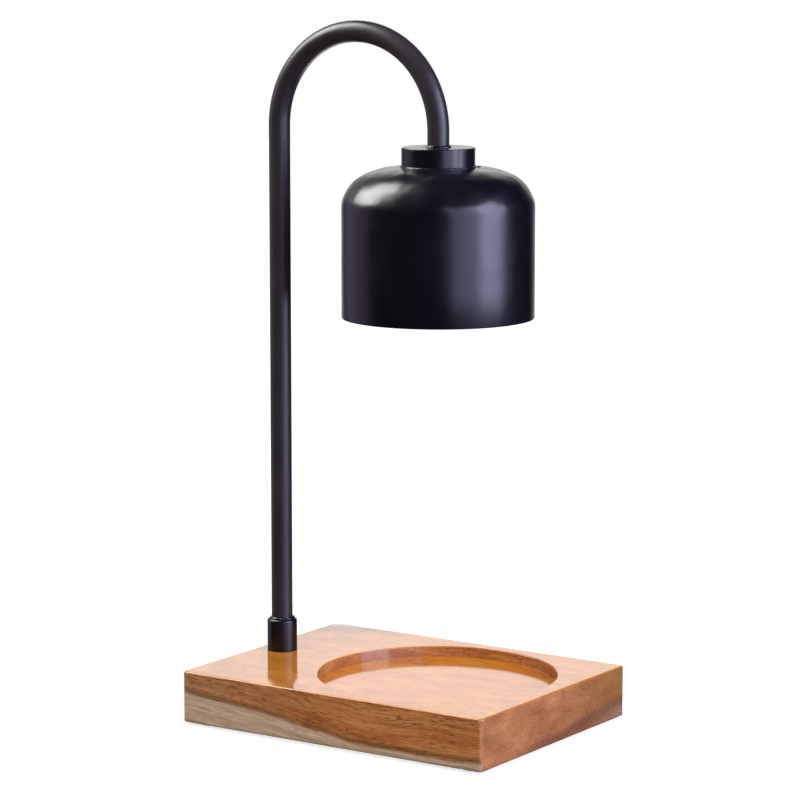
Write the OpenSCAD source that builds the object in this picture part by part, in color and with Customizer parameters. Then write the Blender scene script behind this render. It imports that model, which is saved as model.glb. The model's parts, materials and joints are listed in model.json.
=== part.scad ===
// Candle warmer lamp: a hooked steel arm on a wooden board carries a shade with a
// halogen reflector bulb above a round recess in the board.
// X runs along the board from the arm towards the shade, Y to the back, Z up.
// The origin is on the table, under the middle of the board.

/* [Board] */
// Length of the board, along X
board_l = 165; // [150:1:200]
// Width of the board, along Y
board_w = 125; // [118:1:160]
// Thickness of the board
board_h = 24; // [22:0.5:34]
// Radius of the board's four upright corners
board_corner_r = 2.5; // [1:0.5:8]
// Eased edge round the top face
board_top_ease = 1; // [0.4:0.1:2]
// Eased edge round the underside
board_under_ease = 0.6; // [0.2:0.1:1.5]

/* [Recess] */
// Diameter of the round recess
recess_d = 111; // [95:1:112]
// Depth of the recess
recess_depth = 5; // [2:0.5:6]
// Wood left between the recess and the board's right edge
recess_margin = 8.5; // [5:0.5:12]
// Eased edge at the mouth of the recess
recess_ease = 0.6; // [0.2:0.1:1]

/* [Wiring pocket] */
// Depth of the pocket in the underside
pocket_depth = 13; // [12.5:0.5:15]
// Length of the pocket, along X
pocket_l = 42; // [38:1:50]
// Width of the pocket, along Y
pocket_w = 56; // [52:1:66]
// Wood left between the pocket and the board's left edge
pocket_wall = 6; // [5.5:0.5:7.5]
// Radius of the pocket's corners
pocket_corner_r = 4; // [2:0.5:6]
// Thickness of the steel plate that closes the pocket
plate_t = 1.5; // [1.5:0.1:2]
// How far the plate laps over the wood beside the pocket
plate_lap = 8; // [7:0.5:9]
// How far the plate laps over the wood at the left edge
plate_end_lap = 3.8; // [3:0.1:4.5]
// Gap round the plate in its rebate
plate_gap = 0.3; // [0.2:0.1:0.6]
// Shank diameter of the plate's screws
plate_screw_d = 3; // [2.5:0.1:3.2]
// Head diameter of the plate's screws
plate_screw_head_d = 5.8; // [5:0.1:6]
// Distance of the plate's screws from the ends of the pocket
plate_screw_inset = 8; // [6:0.5:10]
// Length of the plate's screws
plate_screw_l = 10; // [8:0.5:14]

/* [Feet] */
// Diameter of a rubber foot
foot_d = 12; // [8:0.5:14]
// How far a foot stands out below the board
foot_proud = 1.5; // [0.5:0.1:3]
// Depth of the socket that a foot is glued in
foot_socket = 1.5; // [1:0.1:3]
// Distance of a foot's centre from both edges of the board
foot_inset = 10; // [8:0.5:14]

/* [Cord inlet] */
// Bore of the grommet, for the supply cord
grommet_bore = 6.4; // [5.5:0.1:6.8]
// Diameter of the grommet's body in the wood
grommet_body_d = 9; // [8.4:0.1:9.4]
// Diameter of the grommet's two flanges
grommet_flange_d = 11; // [10.4:0.1:11.4]
// Thickness of each flange
grommet_flange_t = 1.5; // [1:0.1:2]
// Distance of the grommet from the arm, towards the back
grommet_y = 18; // [16:0.5:22]

/* [Terminal block] */
// Length of the block along the leads
block_l = 15; // [12:0.5:18]
// Width of the block across the leads
block_w = 17; // [15.5:0.5:20]
// Height of the block
block_h = 10; // [9:0.1:10.5]
// Spacing of the two poles
pole_pitch = 8; // [7.6:0.1:9]
// Outside diameter of a brass insert
insert_d = 4; // [3.6:0.1:4.4]
// Bore of a brass insert
insert_bore = 2.4; // [2:0.1:2.8]
// Distance of the block from the arm
block_offset = 10.5; // [10.2:0.1:12]
// Diameter of the screws that clamp the leads
terminal_screw_d = 2.5; // [2:0.1:2.8]
// Diameter of the screw that holds the block
block_screw_d = 2.6; // [2.2:0.1:2.8]
// Head diameter of the screw that holds the block
block_screw_head_d = 4.2; // [3.8:0.1:4.4]
// How far the block's screw bites into the board
block_screw_bite = 4.5; // [3:0.5:5]
// Depth of the counterbore for the block screw's head
block_head_sink = 2; // [1.5:0.1:2.5]
// How far a lead runs into its brass insert
lead_grip = 5; // [4:0.5:6]

/* [Arm] */
// Outside diameter of the arm tube
tube_d = 10; // [9.6:0.1:10.4]
// Wall of the arm tube
tube_wall = 1; // [0.8:0.1:1.1]
// Height of the top of the arch above the board's underside
arm_height = 323.7; // [310:0.1:380]
// Distance of the arm from the board's left edge
arm_edge_gap = 12.5; // [12.5:0.1:13.5]
// Diameter of the collar at the arm's foot
collar_d = 14.2; // [13.6:0.1:18]
// Height of the collar
collar_h = 15.5; // [8:0.5:25]
// Rounding of the collar's shoulder
collar_round = 1.2; // [0.5:0.1:1.4]
// Width and height of the fillet of weld round the tube
weld_leg = 1; // [0.5:0.1:1.2]
// Wood clamped between the collar and the nut below it
clamped_wood = 6; // [5:0.5:6.5]
// Width of the lamp nuts across their flats
nut_af = 14; // [13.5:0.1:14.6]
// Thickness of the nut under the board
foot_nut_t = 4; // [3:0.5:4]
// Diameter of the washer under the board
foot_washer_d = 17; // [16.8:0.1:17.4]
// Thickness of the washer under the board
foot_washer_t = 1.5; // [1:0.1:1.5]
// Radial clearance of nuts, washers and collar on the tube
thread_gap = 0.05; // [0.02:0.01:0.1]
// Radial clearance of the holes that the tube passes through
hole_gap = 0.2; // [0.1:0.05:0.3]
// Thread that shows past a tightened nut
thread_out = 0.5; // [0.2:0.1:1]
// Thickness of the flange of the bushes in the tube's ends
bush_flange = 0.8; // [0.6:0.1:0.9]
// Depth of the bushes in the tube
bush_depth = 5; // [3:0.5:8]
// Bore of the bushes
bush_bore = 6.4; // [6.2:0.1:6.6]

/* [Shade] */
// Straight length of the arm between its bend and the cap above the shade
neck_drop = 6.9; // [5:0.1:40]
// Outside diameter of the shade
shade_d = 88; // [80:1:100]
// Height of the shade's straight wall
shade_wall_h = 48.8; // [48:0.1:60]
// Thickness of the shade's sheet
shade_t = 1.2; // [0.8:0.1:1.5]
// Outside radius of the shade's shoulder
shoulder_r = 18.2; // [14:0.1:20]
// Angle through which the shoulder turns before the crown begins
shoulder_deg = 68; // [60:1:75]
// Diameter of the flat seat at the middle of the crown
crown_flat_d = 34.6; // [34:0.1:38]
// Diameter of the cap above the shade
cap_d = 33.6; // [28:0.1:34]
// Height of the cap
cap_h = 8.9; // [7:0.1:14]
// Wall of the cap
cap_t = 1.5; // [1:0.1:2.5]

/* [Lamp holder] */
// Diameter of the washer inside the crown
head_washer_d = 22; // [20.5:0.5:26]
// Thickness of the washer inside the crown
head_washer_t = 1; // [0.8:0.1:1.2]
// Thickness of the nut inside the shade
head_nut_t = 3; // [2.5:0.1:3]
// Thickness of the bracket's strap
bracket_t = 1; // [0.8:0.1:1.2]
// Width of the bracket's strap
bracket_w = 14; // [14:0.5:18]
// Height of the bracket, over its top and down to its feet
bracket_h = 6.4; // [6.3:0.1:8]
// Diameter of the ceramic holder
holder_d = 31; // [31:0.5:36]
// Height of the holder's body
holder_body_h = 9.3; // [9:0.1:12]
// Thickness of the holder's slotted cover
cover_t = 3.7; // [3.5:0.1:3.8]
// Distance of each holder screw from the lamp's axis
holder_screw_x = 11.8; // [11.6:0.1:12.2]
// Diameter of the holder's screws
holder_screw_d = 3; // [2.5:0.1:3.2]
// Head diameter of the holder's screws
holder_screw_head_d = 5; // [4.6:0.1:5.4]
// Depth of the counterbores for the screws' heads
holder_screw_sink = 2.2; // [2:0.1:2.6]
// Diameter of the well for the leads in the holder's top
well_d = 14; // [13.4:0.1:15]
// Diameter of the solder cups in the well
cup_d = 2.6; // [2.4:0.1:2.8]
// Height of the solder cups
cup_h = 1.6; // [1.4:0.1:2]
// Metal left under a lead in its solder cup
cup_floor = 0.4; // [0.3:0.1:0.6]
// Ceramic between the pin chambers and the well
web_t = 1.2; // [1:0.1:1.6]
// Diameter of the stem of a contact
contact_stem_d = 1.8; // [1.5:0.1:2]
// Thickness of the contacts above the bulb's pins
contact_t = 0.5; // [0.3:0.1:0.6]
// Angle through which the bulb turns to lock
twist_deg = 40; // [30:1:50]

/* [Bulb] */
// Diameter of the bulb's front
bulb_d = 50; // [45:1:51]
// Height of the bulb without its pins
bulb_h = 45.5; // [43:0.1:46]
// Thickness of the front glass
lens_t = 2.2; // [1.5:0.1:3]
// Height of the curved part of the reflector
reflector_h = 29; // [26:0.5:29.5]
// Wall of the reflector
reflector_wall = 1.4; // [1:0.1:1.8]
// Diameter of the reflector's neck
reflector_neck_d = 20; // [18:0.5:20]
// Height of the reflector's neck
reflector_neck_h = 3; // [2:0.5:3.5]
// Diameter of the bulb's ceramic base
bulb_base_d = 23; // [22.8:0.1:25]
// Spacing of the bulb's two pins
pin_pitch = 10; // [9.8:0.1:10.4]
// Height of a pin above the base
pin_h = 7; // [6.9:0.1:7.2]
// Diameter of a pin's stem
pin_stem_d = 3; // [2.8:0.1:3.1]
// Diameter of a pin's head
pin_head_d = 5; // [4.8:0.1:5.1]
// Height of a pin's head
pin_head_h = 2.6; // [2.4:0.1:2.6]
// How far a pin stands in the ceramic base
pin_root = 3; // [2:0.5:4]
// Diameter of the quartz capsule
capsule_d = 8.4; // [7.5:0.1:9]
// Wall of the quartz capsule
capsule_wall = 0.9; // [0.6:0.1:1.2]
// Height of the hollow inside the capsule
capsule_hollow_h = 15; // [13:0.5:16]
// Height of the capsule's solid, pinched end
capsule_solid_h = 5.5; // [5:0.5:6]
// How far the capsule stands in the ceramic base
capsule_seat = 3; // [2:0.5:4]
// How far the ceramic base covers the reflector's neck
base_grip = 2.6; // [2:0.1:2.8]
// Length of the coiled filament
filament_l = 5; // [4:0.5:7]

/* [Leads] */
// Diameter of each insulated lead
lead_d = 1.6; // [1.2:0.1:1.6]
// Spacing of the two leads inside the arm
lead_pitch = 4.4; // [4:0.1:4.5]
// Radius at which the leads turn below the arm
lead_turn_r = 3.5; // [3:0.1:3.6]

/* [Clearances] */
// Running clearance between the bulb's pins and the holder
pin_gap = 0.3; // [0.25:0.05:0.4]
// Gap between the bulb's base and the holder's cover
seat_gap = 0.3; // [0.2:0.05:0.4]
// Clearance of glued or pressed pieces in their holes
fixed_gap = 0.05; // [0.02:0.01:0.1]

/* [Hidden] */
$fn = 96;
cut = 1; // how far a cutting shape runs past the face that it cuts
face_gap = 0.4; // how far small screws and inserts stand back from a face
slot_w = 0.5; // width of a screwdriver slot
arc_steps = 10; // straight steps in a rounded outline
lead_steps = 5; // straight steps in a small bend of a lead
arch_steps = 24; // straight steps in a lead round the arch

// Places across the board
board_z = foot_proud;
board_top_z = board_z + board_h;
arm_x = -board_l / 2 + arm_edge_gap;
head_x = board_l / 2 - recess_margin - recess_d / 2;
bend_r = (head_x - arm_x) / 2;
bend_z = board_z + arm_height - tube_d / 2 - bend_r;
pocket_x = -board_l / 2 + pocket_wall;
plate_x = pocket_x - plate_end_lap;
plate_l = plate_end_lap + pocket_l + plate_lap;
plate_w = pocket_w + 2 * plate_lap;
foot_h = foot_socket + foot_proud;

// Heights under the board
pocket_top_z = board_z + pocket_depth;
nut_seat_z = board_top_z - clamped_wood;
nut_well_d = foot_washer_d + 1;
foot_nut_z = nut_seat_z - foot_washer_t - foot_nut_t;
tube_foot_z = foot_nut_z - thread_out;
tube_bore = tube_d - 2 * tube_wall;
grommet_z = board_z + (plate_t + pocket_depth) / 2;
block_x = arm_x + block_offset;
block_z = pocket_top_z - block_h;
lead_low_z = tube_foot_z - bush_flange - thread_out - lead_turn_r;

// The shade, hung from the arm's bend
shade_r = shade_d / 2;
shoulder_end_r = shade_r - shoulder_r * (1 - cos(shoulder_deg));
crown_r = (shoulder_end_r - crown_flat_d / 2) / cos(shoulder_deg);
shade_h = shade_wall_h + shoulder_r * sin(shoulder_deg) + crown_r * (1 - sin(shoulder_deg));
crown_z = bend_z - neck_drop - cap_h;
rim_z = crown_z - shade_h;

// The lamp holder, from the crown down
bracket_top_z = crown_z - shade_t - head_washer_t;
bracket_inside = nut_af / cos(30) / 2 + 1;
bracket_reach = holder_screw_x + holder_screw_d / 2 + 1.2;
head_nut_z = bracket_top_z - bracket_t - head_nut_t;
tube_head_z = head_nut_z - thread_out;
holder_top_z = bracket_top_z - bracket_h;
cover_top_z = holder_top_z - holder_body_h;
seat_z = cover_top_z - cover_t;
bulb_z = seat_z - seat_gap - bulb_h;
pin_top_z = seat_z - seat_gap + pin_h;
chamber_top_z = pin_top_z + pin_gap + contact_t;
well_z = chamber_top_z + web_t;

// The bulb, from its front up
neck_z = bulb_z + lens_t + reflector_h;
neck_top_z = neck_z + reflector_neck_h;
capsule_top_z = neck_top_z + capsule_seat;
hollow_top_z = capsule_top_z - capsule_solid_h;
filament_z = hollow_top_z - capsule_hollow_h / 2 - filament_l / 2;

// ---- Shared shapes ----

// Points along an arc about [x, y]
function arc(x, y, r, from, to) =
  [for (i = [0 : arc_steps])
    let (a = from + (to - from) * i / arc_steps) [x + r * cos(a), y + r * sin(a)]];

// A rectangle from its left front corner, with round corners
module round_rect(x, y, l, w, r) {
  translate([x + r, y]) square([l - 2 * r, w]);
  translate([x, y + r]) square([l, w - 2 * r]);
  for (cx = [x + r, x + l - r], cy = [y + r, y + w - r])
    translate([cx, cy]) circle(r);
}

// A flat ring that stands on z
module ring(outer_d, inner_d, h, z = 0) {
  translate([0, 0, z]) difference() {
    cylinder(d = outer_d, h = h);
    translate([0, 0, -cut]) cylinder(d = inner_d, h = h + 2 * cut);
  }
}

module hex_nut(h, z) {
  translate([0, 0, z]) difference() {
    cylinder(d = nut_af / cos(30), h = h, $fn = 6);
    translate([0, 0, -cut]) cylinder(d = tube_d + 2 * thread_gap, h = h + 2 * cut);
  }
}

// A slot bent round the Z axis, with round ends
module arc_slot(r, w, from, to, h) {
  rotate([0, 0, from]) rotate_extrude(angle = to - from)
    translate([r - w / 2, 0]) square([w, h]);
  for (a = [from, to])
    rotate([0, 0, a]) translate([r, 0, 0]) cylinder(d = w, h = h);
}

// A round bar along the arm: its bend, and from the bend's two ends down to foot and head
module along_arm(d, foot_z, head_z) {
  translate([arm_x + bend_r, 0, bend_z]) rotate([90, 0, 0])
    rotate_extrude(angle = 180) translate([bend_r, 0]) circle(d = d);
  translate([arm_x, 0, bend_z]) mirror([0, 0, 1]) cylinder(d = d, h = bend_z - foot_z);
  translate([head_x, 0, bend_z]) mirror([0, 0, 1]) cylinder(d = d, h = bend_z - head_z);
}

// ---- Board ----

// Side view of a board of length l, with its edges eased
module eased_outline(l) {
  polygon([
    [-l / 2 + board_under_ease, 0], [l / 2 - board_under_ease, 0],
    [l / 2, board_under_ease], [l / 2, board_h - board_top_ease],
    [l / 2 - board_top_ease, board_h], [-l / 2 + board_top_ease, board_h],
    [-l / 2, board_h - board_top_ease], [-l / 2, board_under_ease]
  ]);
}

module board_blank() {
  intersection() {
    linear_extrude(board_h)
      round_rect(-board_l / 2, -board_w / 2, board_l, board_w, board_corner_r);
    translate([0, board_w / 2, 0]) rotate([90, 0, 0])
      linear_extrude(board_w) eased_outline(board_l);
    translate([-board_l / 2, 0, 0]) rotate([90, 0, 90])
      linear_extrude(board_l) eased_outline(board_w);
  }
}

module recess() {
  translate([head_x, 0, board_h - recess_depth])
    cylinder(d = recess_d, h = recess_depth + cut);
  translate([head_x, 0, board_h - recess_ease])
    cylinder(d1 = recess_d, d2 = recess_d + 2 * (recess_ease + cut), h = recess_ease + cut);
}

module at_feet() {
  for (sx = [-1, 1], sy = [-1, 1])
    translate([sx * (board_l / 2 - foot_inset), sy * (board_w / 2 - foot_inset), 0])
      children();
}

module at_plate_screws() {
  for (x = [pocket_x + plate_screw_inset, pocket_x + pocket_l - plate_screw_inset], sy = [-1, 1])
    translate([x, sy * (pocket_w + plate_lap) / 2, 0]) children();
}

module grommet_hole() {
  translate([-board_l / 2 - cut, grommet_y, grommet_z - board_z]) rotate([0, 90, 0]) {
    cylinder(d = grommet_body_d + 2 * fixed_gap, h = pocket_wall + 2 * cut);
    cylinder(d = grommet_flange_d + 2 * fixed_gap, h = grommet_flange_t + cut);
  }
}

module base_board() {
  color("#b5793f") translate([0, 0, board_z]) difference() {
    board_blank();
    recess();
    translate([arm_x, 0, -cut]) {
      cylinder(d = tube_d + 2 * hole_gap, h = board_h + 2 * cut);
      cylinder(d = nut_well_d, h = nut_seat_z - board_z + cut);
    }
    translate([0, 0, -cut]) linear_extrude(pocket_depth + cut)
      round_rect(pocket_x, -pocket_w / 2, pocket_l, pocket_w, pocket_corner_r);
    translate([0, 0, -cut]) linear_extrude(plate_t + cut)
      round_rect(plate_x - plate_gap, -plate_w / 2 - plate_gap, plate_l + 2 * plate_gap,
        plate_w + 2 * plate_gap, pocket_corner_r + plate_gap);
    at_plate_screws()
      cylinder(d = plate_screw_d + 2 * fixed_gap, h = plate_screw_l + cut);
    translate([block_x + block_l / 2, 0, pocket_depth - cut])
      cylinder(d = block_screw_d + 2 * fixed_gap, h = block_screw_bite + 2 * cut);
    at_feet() translate([0, 0, -cut])
      cylinder(d = foot_d + 2 * fixed_gap, h = foot_socket + cut);
    grommet_hole();
  }
}

module bottom_plate() {
  color("#2b2b2e") translate([0, 0, board_z]) difference() {
    linear_extrude(plate_t) round_rect(plate_x, -plate_w / 2, plate_l, plate_w, pocket_corner_r);
    at_plate_screws() {
      translate([0, 0, -cut])
        cylinder(d = plate_screw_d + 2 * hole_gap, h = plate_t + 2 * cut);
      translate([0, 0, -fixed_gap]) countersink(hole_gap);
    }
  }
}

// The cone of a countersunk head, grown outwards by a gap
module countersink(gap) {
  cone_h = (plate_screw_head_d - plate_screw_d) / 2;
  cylinder(d1 = plate_screw_head_d + 2 * gap, d2 = plate_screw_d + 2 * gap, h = cone_h);
}

// The cross of a screwdriver in a head of diameter d
module cross_drive(d, depth) {
  w = 0.6 * d;
  for (a = [0, 90])
    rotate([0, 0, a]) translate([-w / 2, -w / 8, -cut]) cube([w, w / 4, depth + cut]);
}

module plate_screws() {
  color("#b9bcc0") translate([0, 0, board_z]) at_plate_screws() difference() {
    union() {
      countersink(0);
      cylinder(d = plate_screw_d, h = plate_screw_l - plate_screw_d);
      translate([0, 0, plate_screw_l - plate_screw_d])
        cylinder(d1 = plate_screw_d, d2 = plate_screw_d / 6, h = plate_screw_d);
    }
    cross_drive(plate_screw_head_d, plate_t / 2);
  }
}

module rubber_feet() {
  color("#1c1c1c") at_feet() cylinder(d = foot_d, h = foot_h);
}

module cord_grommet() {
  length = pocket_wall + grommet_flange_t;
  color("#161616") translate([-board_l / 2, grommet_y, grommet_z]) rotate([0, 90, 0])
    difference() {
      union() {
        cylinder(d = grommet_body_d, h = length);
        cylinder(d = grommet_flange_d, h = grommet_flange_t);
        translate([0, 0, pocket_wall]) cylinder(d = grommet_flange_d, h = grommet_flange_t);
      }
      translate([0, 0, -cut]) cylinder(d = grommet_bore, h = length + 2 * cut);
    }
}

// ---- Terminal block ----

module at_poles() {
  for (sy = [-1, 1]) translate([0, sy * pole_pitch / 2, 0]) children();
}

// Along each pole, the places of its two clamping screws
module at_terminal_screws() {
  at_poles() for (t = [0.25, 0.75]) translate([block_x + block_l * t, 0, 0]) children();
}

module terminal_block() {
  color("#e9e6dc") difference() {
    translate([block_x, -block_w / 2, block_z]) cube([block_l, block_w, block_h]);
    at_poles() translate([block_x - cut, 0, lead_low_z]) rotate([0, 90, 0])
      cylinder(d = insert_d + 2 * fixed_gap, h = block_l + 2 * cut);
    at_terminal_screws() translate([0, 0, block_z - cut])
      cylinder(d = terminal_screw_d + 2 * hole_gap, h = lead_low_z - block_z + cut);
    translate([block_x + block_l / 2, 0, block_z - cut]) {
      cylinder(d = block_screw_d + 2 * fixed_gap, h = block_h + 2 * cut);
      cylinder(d = block_screw_head_d + 2 * hole_gap, h = block_head_sink + cut);
    }
  }
}

module terminal_inserts() {
  color("#c9a24a") difference() {
    at_poles() translate([block_x + face_gap, 0, lead_low_z]) rotate([0, 90, 0])
      cylinder(d = insert_d, h = block_l - 2 * face_gap);
    at_poles() translate([block_x - cut, 0, lead_low_z]) rotate([0, 90, 0])
      cylinder(d = insert_bore, h = block_l + 2 * cut);
    at_terminal_screws() translate([0, 0, block_z - cut])
      cylinder(d = terminal_screw_d + 2 * fixed_gap, h = lead_low_z - block_z + cut);
  }
}

module terminal_screws() {
  top_z = lead_low_z - lead_d / 2 - fixed_gap;
  color("#b9bcc0") at_terminal_screws() difference() {
    translate([0, 0, block_z + face_gap])
      cylinder(d = terminal_screw_d, h = top_z - block_z - face_gap);
    translate([-terminal_screw_d, -slot_w / 2, block_z - cut])
      cube([2 * terminal_screw_d, slot_w, cut + 2 * face_gap]);
  }
}

module block_screw() {
  color("#b9bcc0") translate([block_x + block_l / 2, 0, block_z]) difference() {
    union() {
      translate([0, 0, face_gap])
        cylinder(d = block_screw_head_d, h = block_head_sink - face_gap);
      translate([0, 0, face_gap])
        cylinder(d = block_screw_d, h = block_h + block_screw_bite - face_gap);
    }
    cross_drive(block_screw_head_d, block_head_sink / 2);
  }
}

// ---- Arm ----

module arm_tube() {
  color("#17171a") difference() {
    along_arm(tube_d, tube_foot_z, tube_head_z);
    along_arm(tube_bore, tube_foot_z - cut, tube_head_z - cut);
  }
}

// A fillet of weld round the tube, standing on z
module weld_fillet(z) {
  tube_r = tube_d / 2 + thread_gap;
  translate([0, 0, z]) rotate_extrude() difference() {
    translate([tube_r, -weld_leg / 2]) square([weld_leg, weld_leg * 1.5]);
    translate([tube_r + weld_leg, weld_leg]) circle(weld_leg);
  }
}

module foot_collar() {
  bore_r = tube_d / 2 + thread_gap;
  r = collar_d / 2;
  color("#141417") translate([arm_x, 0, board_top_z]) {
    rotate_extrude() polygon(concat(
      [[bore_r, 0], [r - 0.3, 0], [r, 0.3]],
      arc(r - collar_round, collar_h - collar_round, collar_round, 0, 90),
      [[bore_r, collar_h]]
    ));
    weld_fillet(collar_h);
  }
}

module foot_washer() {
  color("#b9bcc0") translate([arm_x, 0, 0])
    ring(foot_washer_d, tube_d + 2 * thread_gap, foot_washer_t, nut_seat_z - foot_washer_t);
}

module foot_nut() {
  color("#b9bcc0") translate([arm_x, 0, 0]) hex_nut(foot_nut_t, foot_nut_z);
}

// A plastic bush in a tube's lower end, whose flange covers the end's edge at z
module end_bush(z) {
  color("#efece4") translate([0, 0, z]) difference() {
    union() {
      translate([0, 0, -bush_flange]) cylinder(d = tube_d, h = bush_flange);
      cylinder(d = tube_bore - 2 * fixed_gap, h = bush_depth);
    }
    translate([0, 0, -bush_flange - cut])
      cylinder(d = bush_bore, h = bush_flange + bush_depth + 2 * cut);
  }
}

module foot_bush() { translate([arm_x, 0, 0]) end_bush(tube_foot_z); }

module head_bush() { translate([head_x, 0, 0]) end_bush(tube_head_z); }

// ---- Shade ----

module neck_cap() {
  tube_r = tube_d / 2 + thread_gap;
  edge = 0.4; // broken edge of the cap's top
  color("#141417") translate([head_x, 0, crown_z]) {
    rotate_extrude() polygon([
      [cap_d / 2 - cap_t, 0], [cap_d / 2, 0], [cap_d / 2, cap_h - edge],
      [cap_d / 2 - edge, cap_h], [tube_r, cap_h], [tube_r, cap_h - cap_t],
      [cap_d / 2 - cap_t, cap_h - cap_t]
    ]);
    weld_fillet(cap_h);
  }
}

// Outline of the shade from its rim up to the middle, drawn inwards by a depth
function shade_outline(depth) = concat(
  [[shade_r - depth, 0]],
  arc(shade_r - shoulder_r, shade_wall_h, shoulder_r - depth, 0, shoulder_deg),
  arc(crown_flat_d / 2, shade_h - crown_r, crown_r - depth, shoulder_deg, 90)
);

function reversed(list) = [for (i = [len(list) - 1 : -1 : 0]) list[i]];

module shade() {
  hole_r = tube_d / 2 + hole_gap;
  color("#17171a") translate([head_x, 0, rim_z]) rotate_extrude() polygon(concat(
    shade_outline(0),
    [[hole_r, shade_h], [hole_r, shade_h - shade_t]],
    reversed(shade_outline(shade_t))
  ));
}

module head_washer() {
  color("#b9bcc0") translate([head_x, 0, 0])
    ring(head_washer_d, tube_d + 2 * thread_gap, head_washer_t, bracket_top_z);
}

module head_nut() {
  color("#b9bcc0") translate([head_x, 0, 0]) hex_nut(head_nut_t, head_nut_z);
}

// ---- Lamp holder ----

module at_holder_screws() {
  for (sx = [-1, 1]) translate([sx * holder_screw_x, 0, 0]) children();
}

// A strap like a top hat: a flat top, two legs and two feet turned outwards
module socket_bracket() {
  color("#b9bcc0") translate([head_x, 0, holder_top_z]) difference() {
    translate([0, bracket_w / 2, 0]) rotate([90, 0, 0]) linear_extrude(bracket_w) {
      translate([-bracket_inside - bracket_t, bracket_h - bracket_t])
        square([2 * (bracket_inside + bracket_t), bracket_t]);
      for (s = [0, 1]) mirror([s, 0]) {
        translate([bracket_inside, 0]) square([bracket_t, bracket_h]);
        translate([bracket_inside, 0]) square([bracket_reach - bracket_inside, bracket_t]);
      }
    }
    translate([0, 0, bracket_t + cut]) cylinder(d = tube_d + 2 * thread_gap, h = bracket_h);
    at_holder_screws() translate([0, 0, -cut])
      cylinder(d = holder_screw_d + 2 * fixed_gap, h = bracket_t + 2 * cut);
  }
}

// The way of each pin, from where it enters to where it locks
module pin_slots(w, h) {
  for (locked = [90, 270]) arc_slot(pin_pitch / 2, w, locked - twist_deg, locked, h);
}

module at_contacts() {
  for (sy = [-1, 1]) translate([0, sy * pin_pitch / 2, 0]) children();
}

module socket_body() {
  color("#eeeae0") translate([head_x, 0, 0]) difference() {
    translate([0, 0, cover_top_z]) cylinder(d = holder_d, h = holder_body_h);
    translate([0, 0, cover_top_z - cut])
      pin_slots(pin_head_d + 2 * pin_gap + 0.2, chamber_top_z - cover_top_z + cut);
    translate([0, 0, well_z]) cylinder(d = well_d, h = holder_top_z - well_z + cut);
    at_contacts() translate([0, 0, chamber_top_z - cut])
      cylinder(d = contact_stem_d + 2 * fixed_gap, h = web_t + 2 * cut);
    at_holder_screws() translate([0, 0, cover_top_z - cut])
      cylinder(d = holder_screw_d + 2 * hole_gap, h = holder_body_h + 2 * cut);
  }
}

module socket_cover() {
  color("#eeeae0") translate([head_x, 0, seat_z]) difference() {
    cylinder(d = holder_d, h = cover_t);
    translate([0, 0, -cut]) {
      pin_slots(pin_stem_d + 2 * pin_gap, cover_t + 2 * cut);
      for (entry = [90, 270] - [twist_deg, twist_deg])
        rotate([0, 0, entry]) translate([pin_pitch / 2, 0, 0])
          cylinder(d = pin_head_d + 2 * pin_gap, h = cover_t + 2 * cut);
      at_holder_screws() {
        cylinder(d = holder_screw_d + 2 * hole_gap, h = cover_t + 2 * cut);
        cylinder(d = holder_screw_head_d + 2 * hole_gap, h = holder_screw_sink + cut);
      }
    }
  }
}

module socket_contacts() {
  color("#c9a24a") translate([head_x, 0, 0]) at_contacts() difference() {
    union() {
      translate([0, 0, chamber_top_z - contact_t]) cylinder(d = pin_head_d, h = contact_t);
      translate([0, 0, chamber_top_z - contact_t / 2])
        cylinder(d = contact_stem_d, h = contact_t / 2 + web_t + cup_h / 2);
      translate([0, 0, well_z]) cylinder(d = cup_d, h = cup_h);
    }
    translate([0, 0, well_z + cup_floor]) cylinder(d = lead_d + 2 * fixed_gap, h = cup_h);
  }
}

module socket_screws() {
  tip_z = holder_top_z + bracket_t + thread_out;
  color("#b9bcc0") translate([head_x, 0, 0]) at_holder_screws() difference() {
    union() {
      translate([0, 0, seat_z + face_gap])
        cylinder(d = holder_screw_head_d, h = holder_screw_sink - face_gap);
      translate([0, 0, seat_z + face_gap])
        cylinder(d = holder_screw_d, h = tip_z - seat_z - face_gap);
    }
    translate([0, 0, seat_z + face_gap])
      cross_drive(holder_screw_head_d, holder_screw_sink / 2);
  }
}

// ---- Leads ----

// Points of a bend like an S: they run along by run and sideways by shift, as [sideways, along]
function s_bend(run, shift) =
  let (turn = 2 * atan(shift / run), r = run / (2 * sin(turn)))
  concat(
    [for (i = [0 : lead_steps]) let (a = turn * i / lead_steps) [r * (1 - cos(a)), r * sin(a)]],
    [for (i = [lead_steps - 1 : -1 : 0])
      let (a = turn * i / lead_steps) [shift - r * (1 - cos(a)), run - r * sin(a)]]
  );

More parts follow.
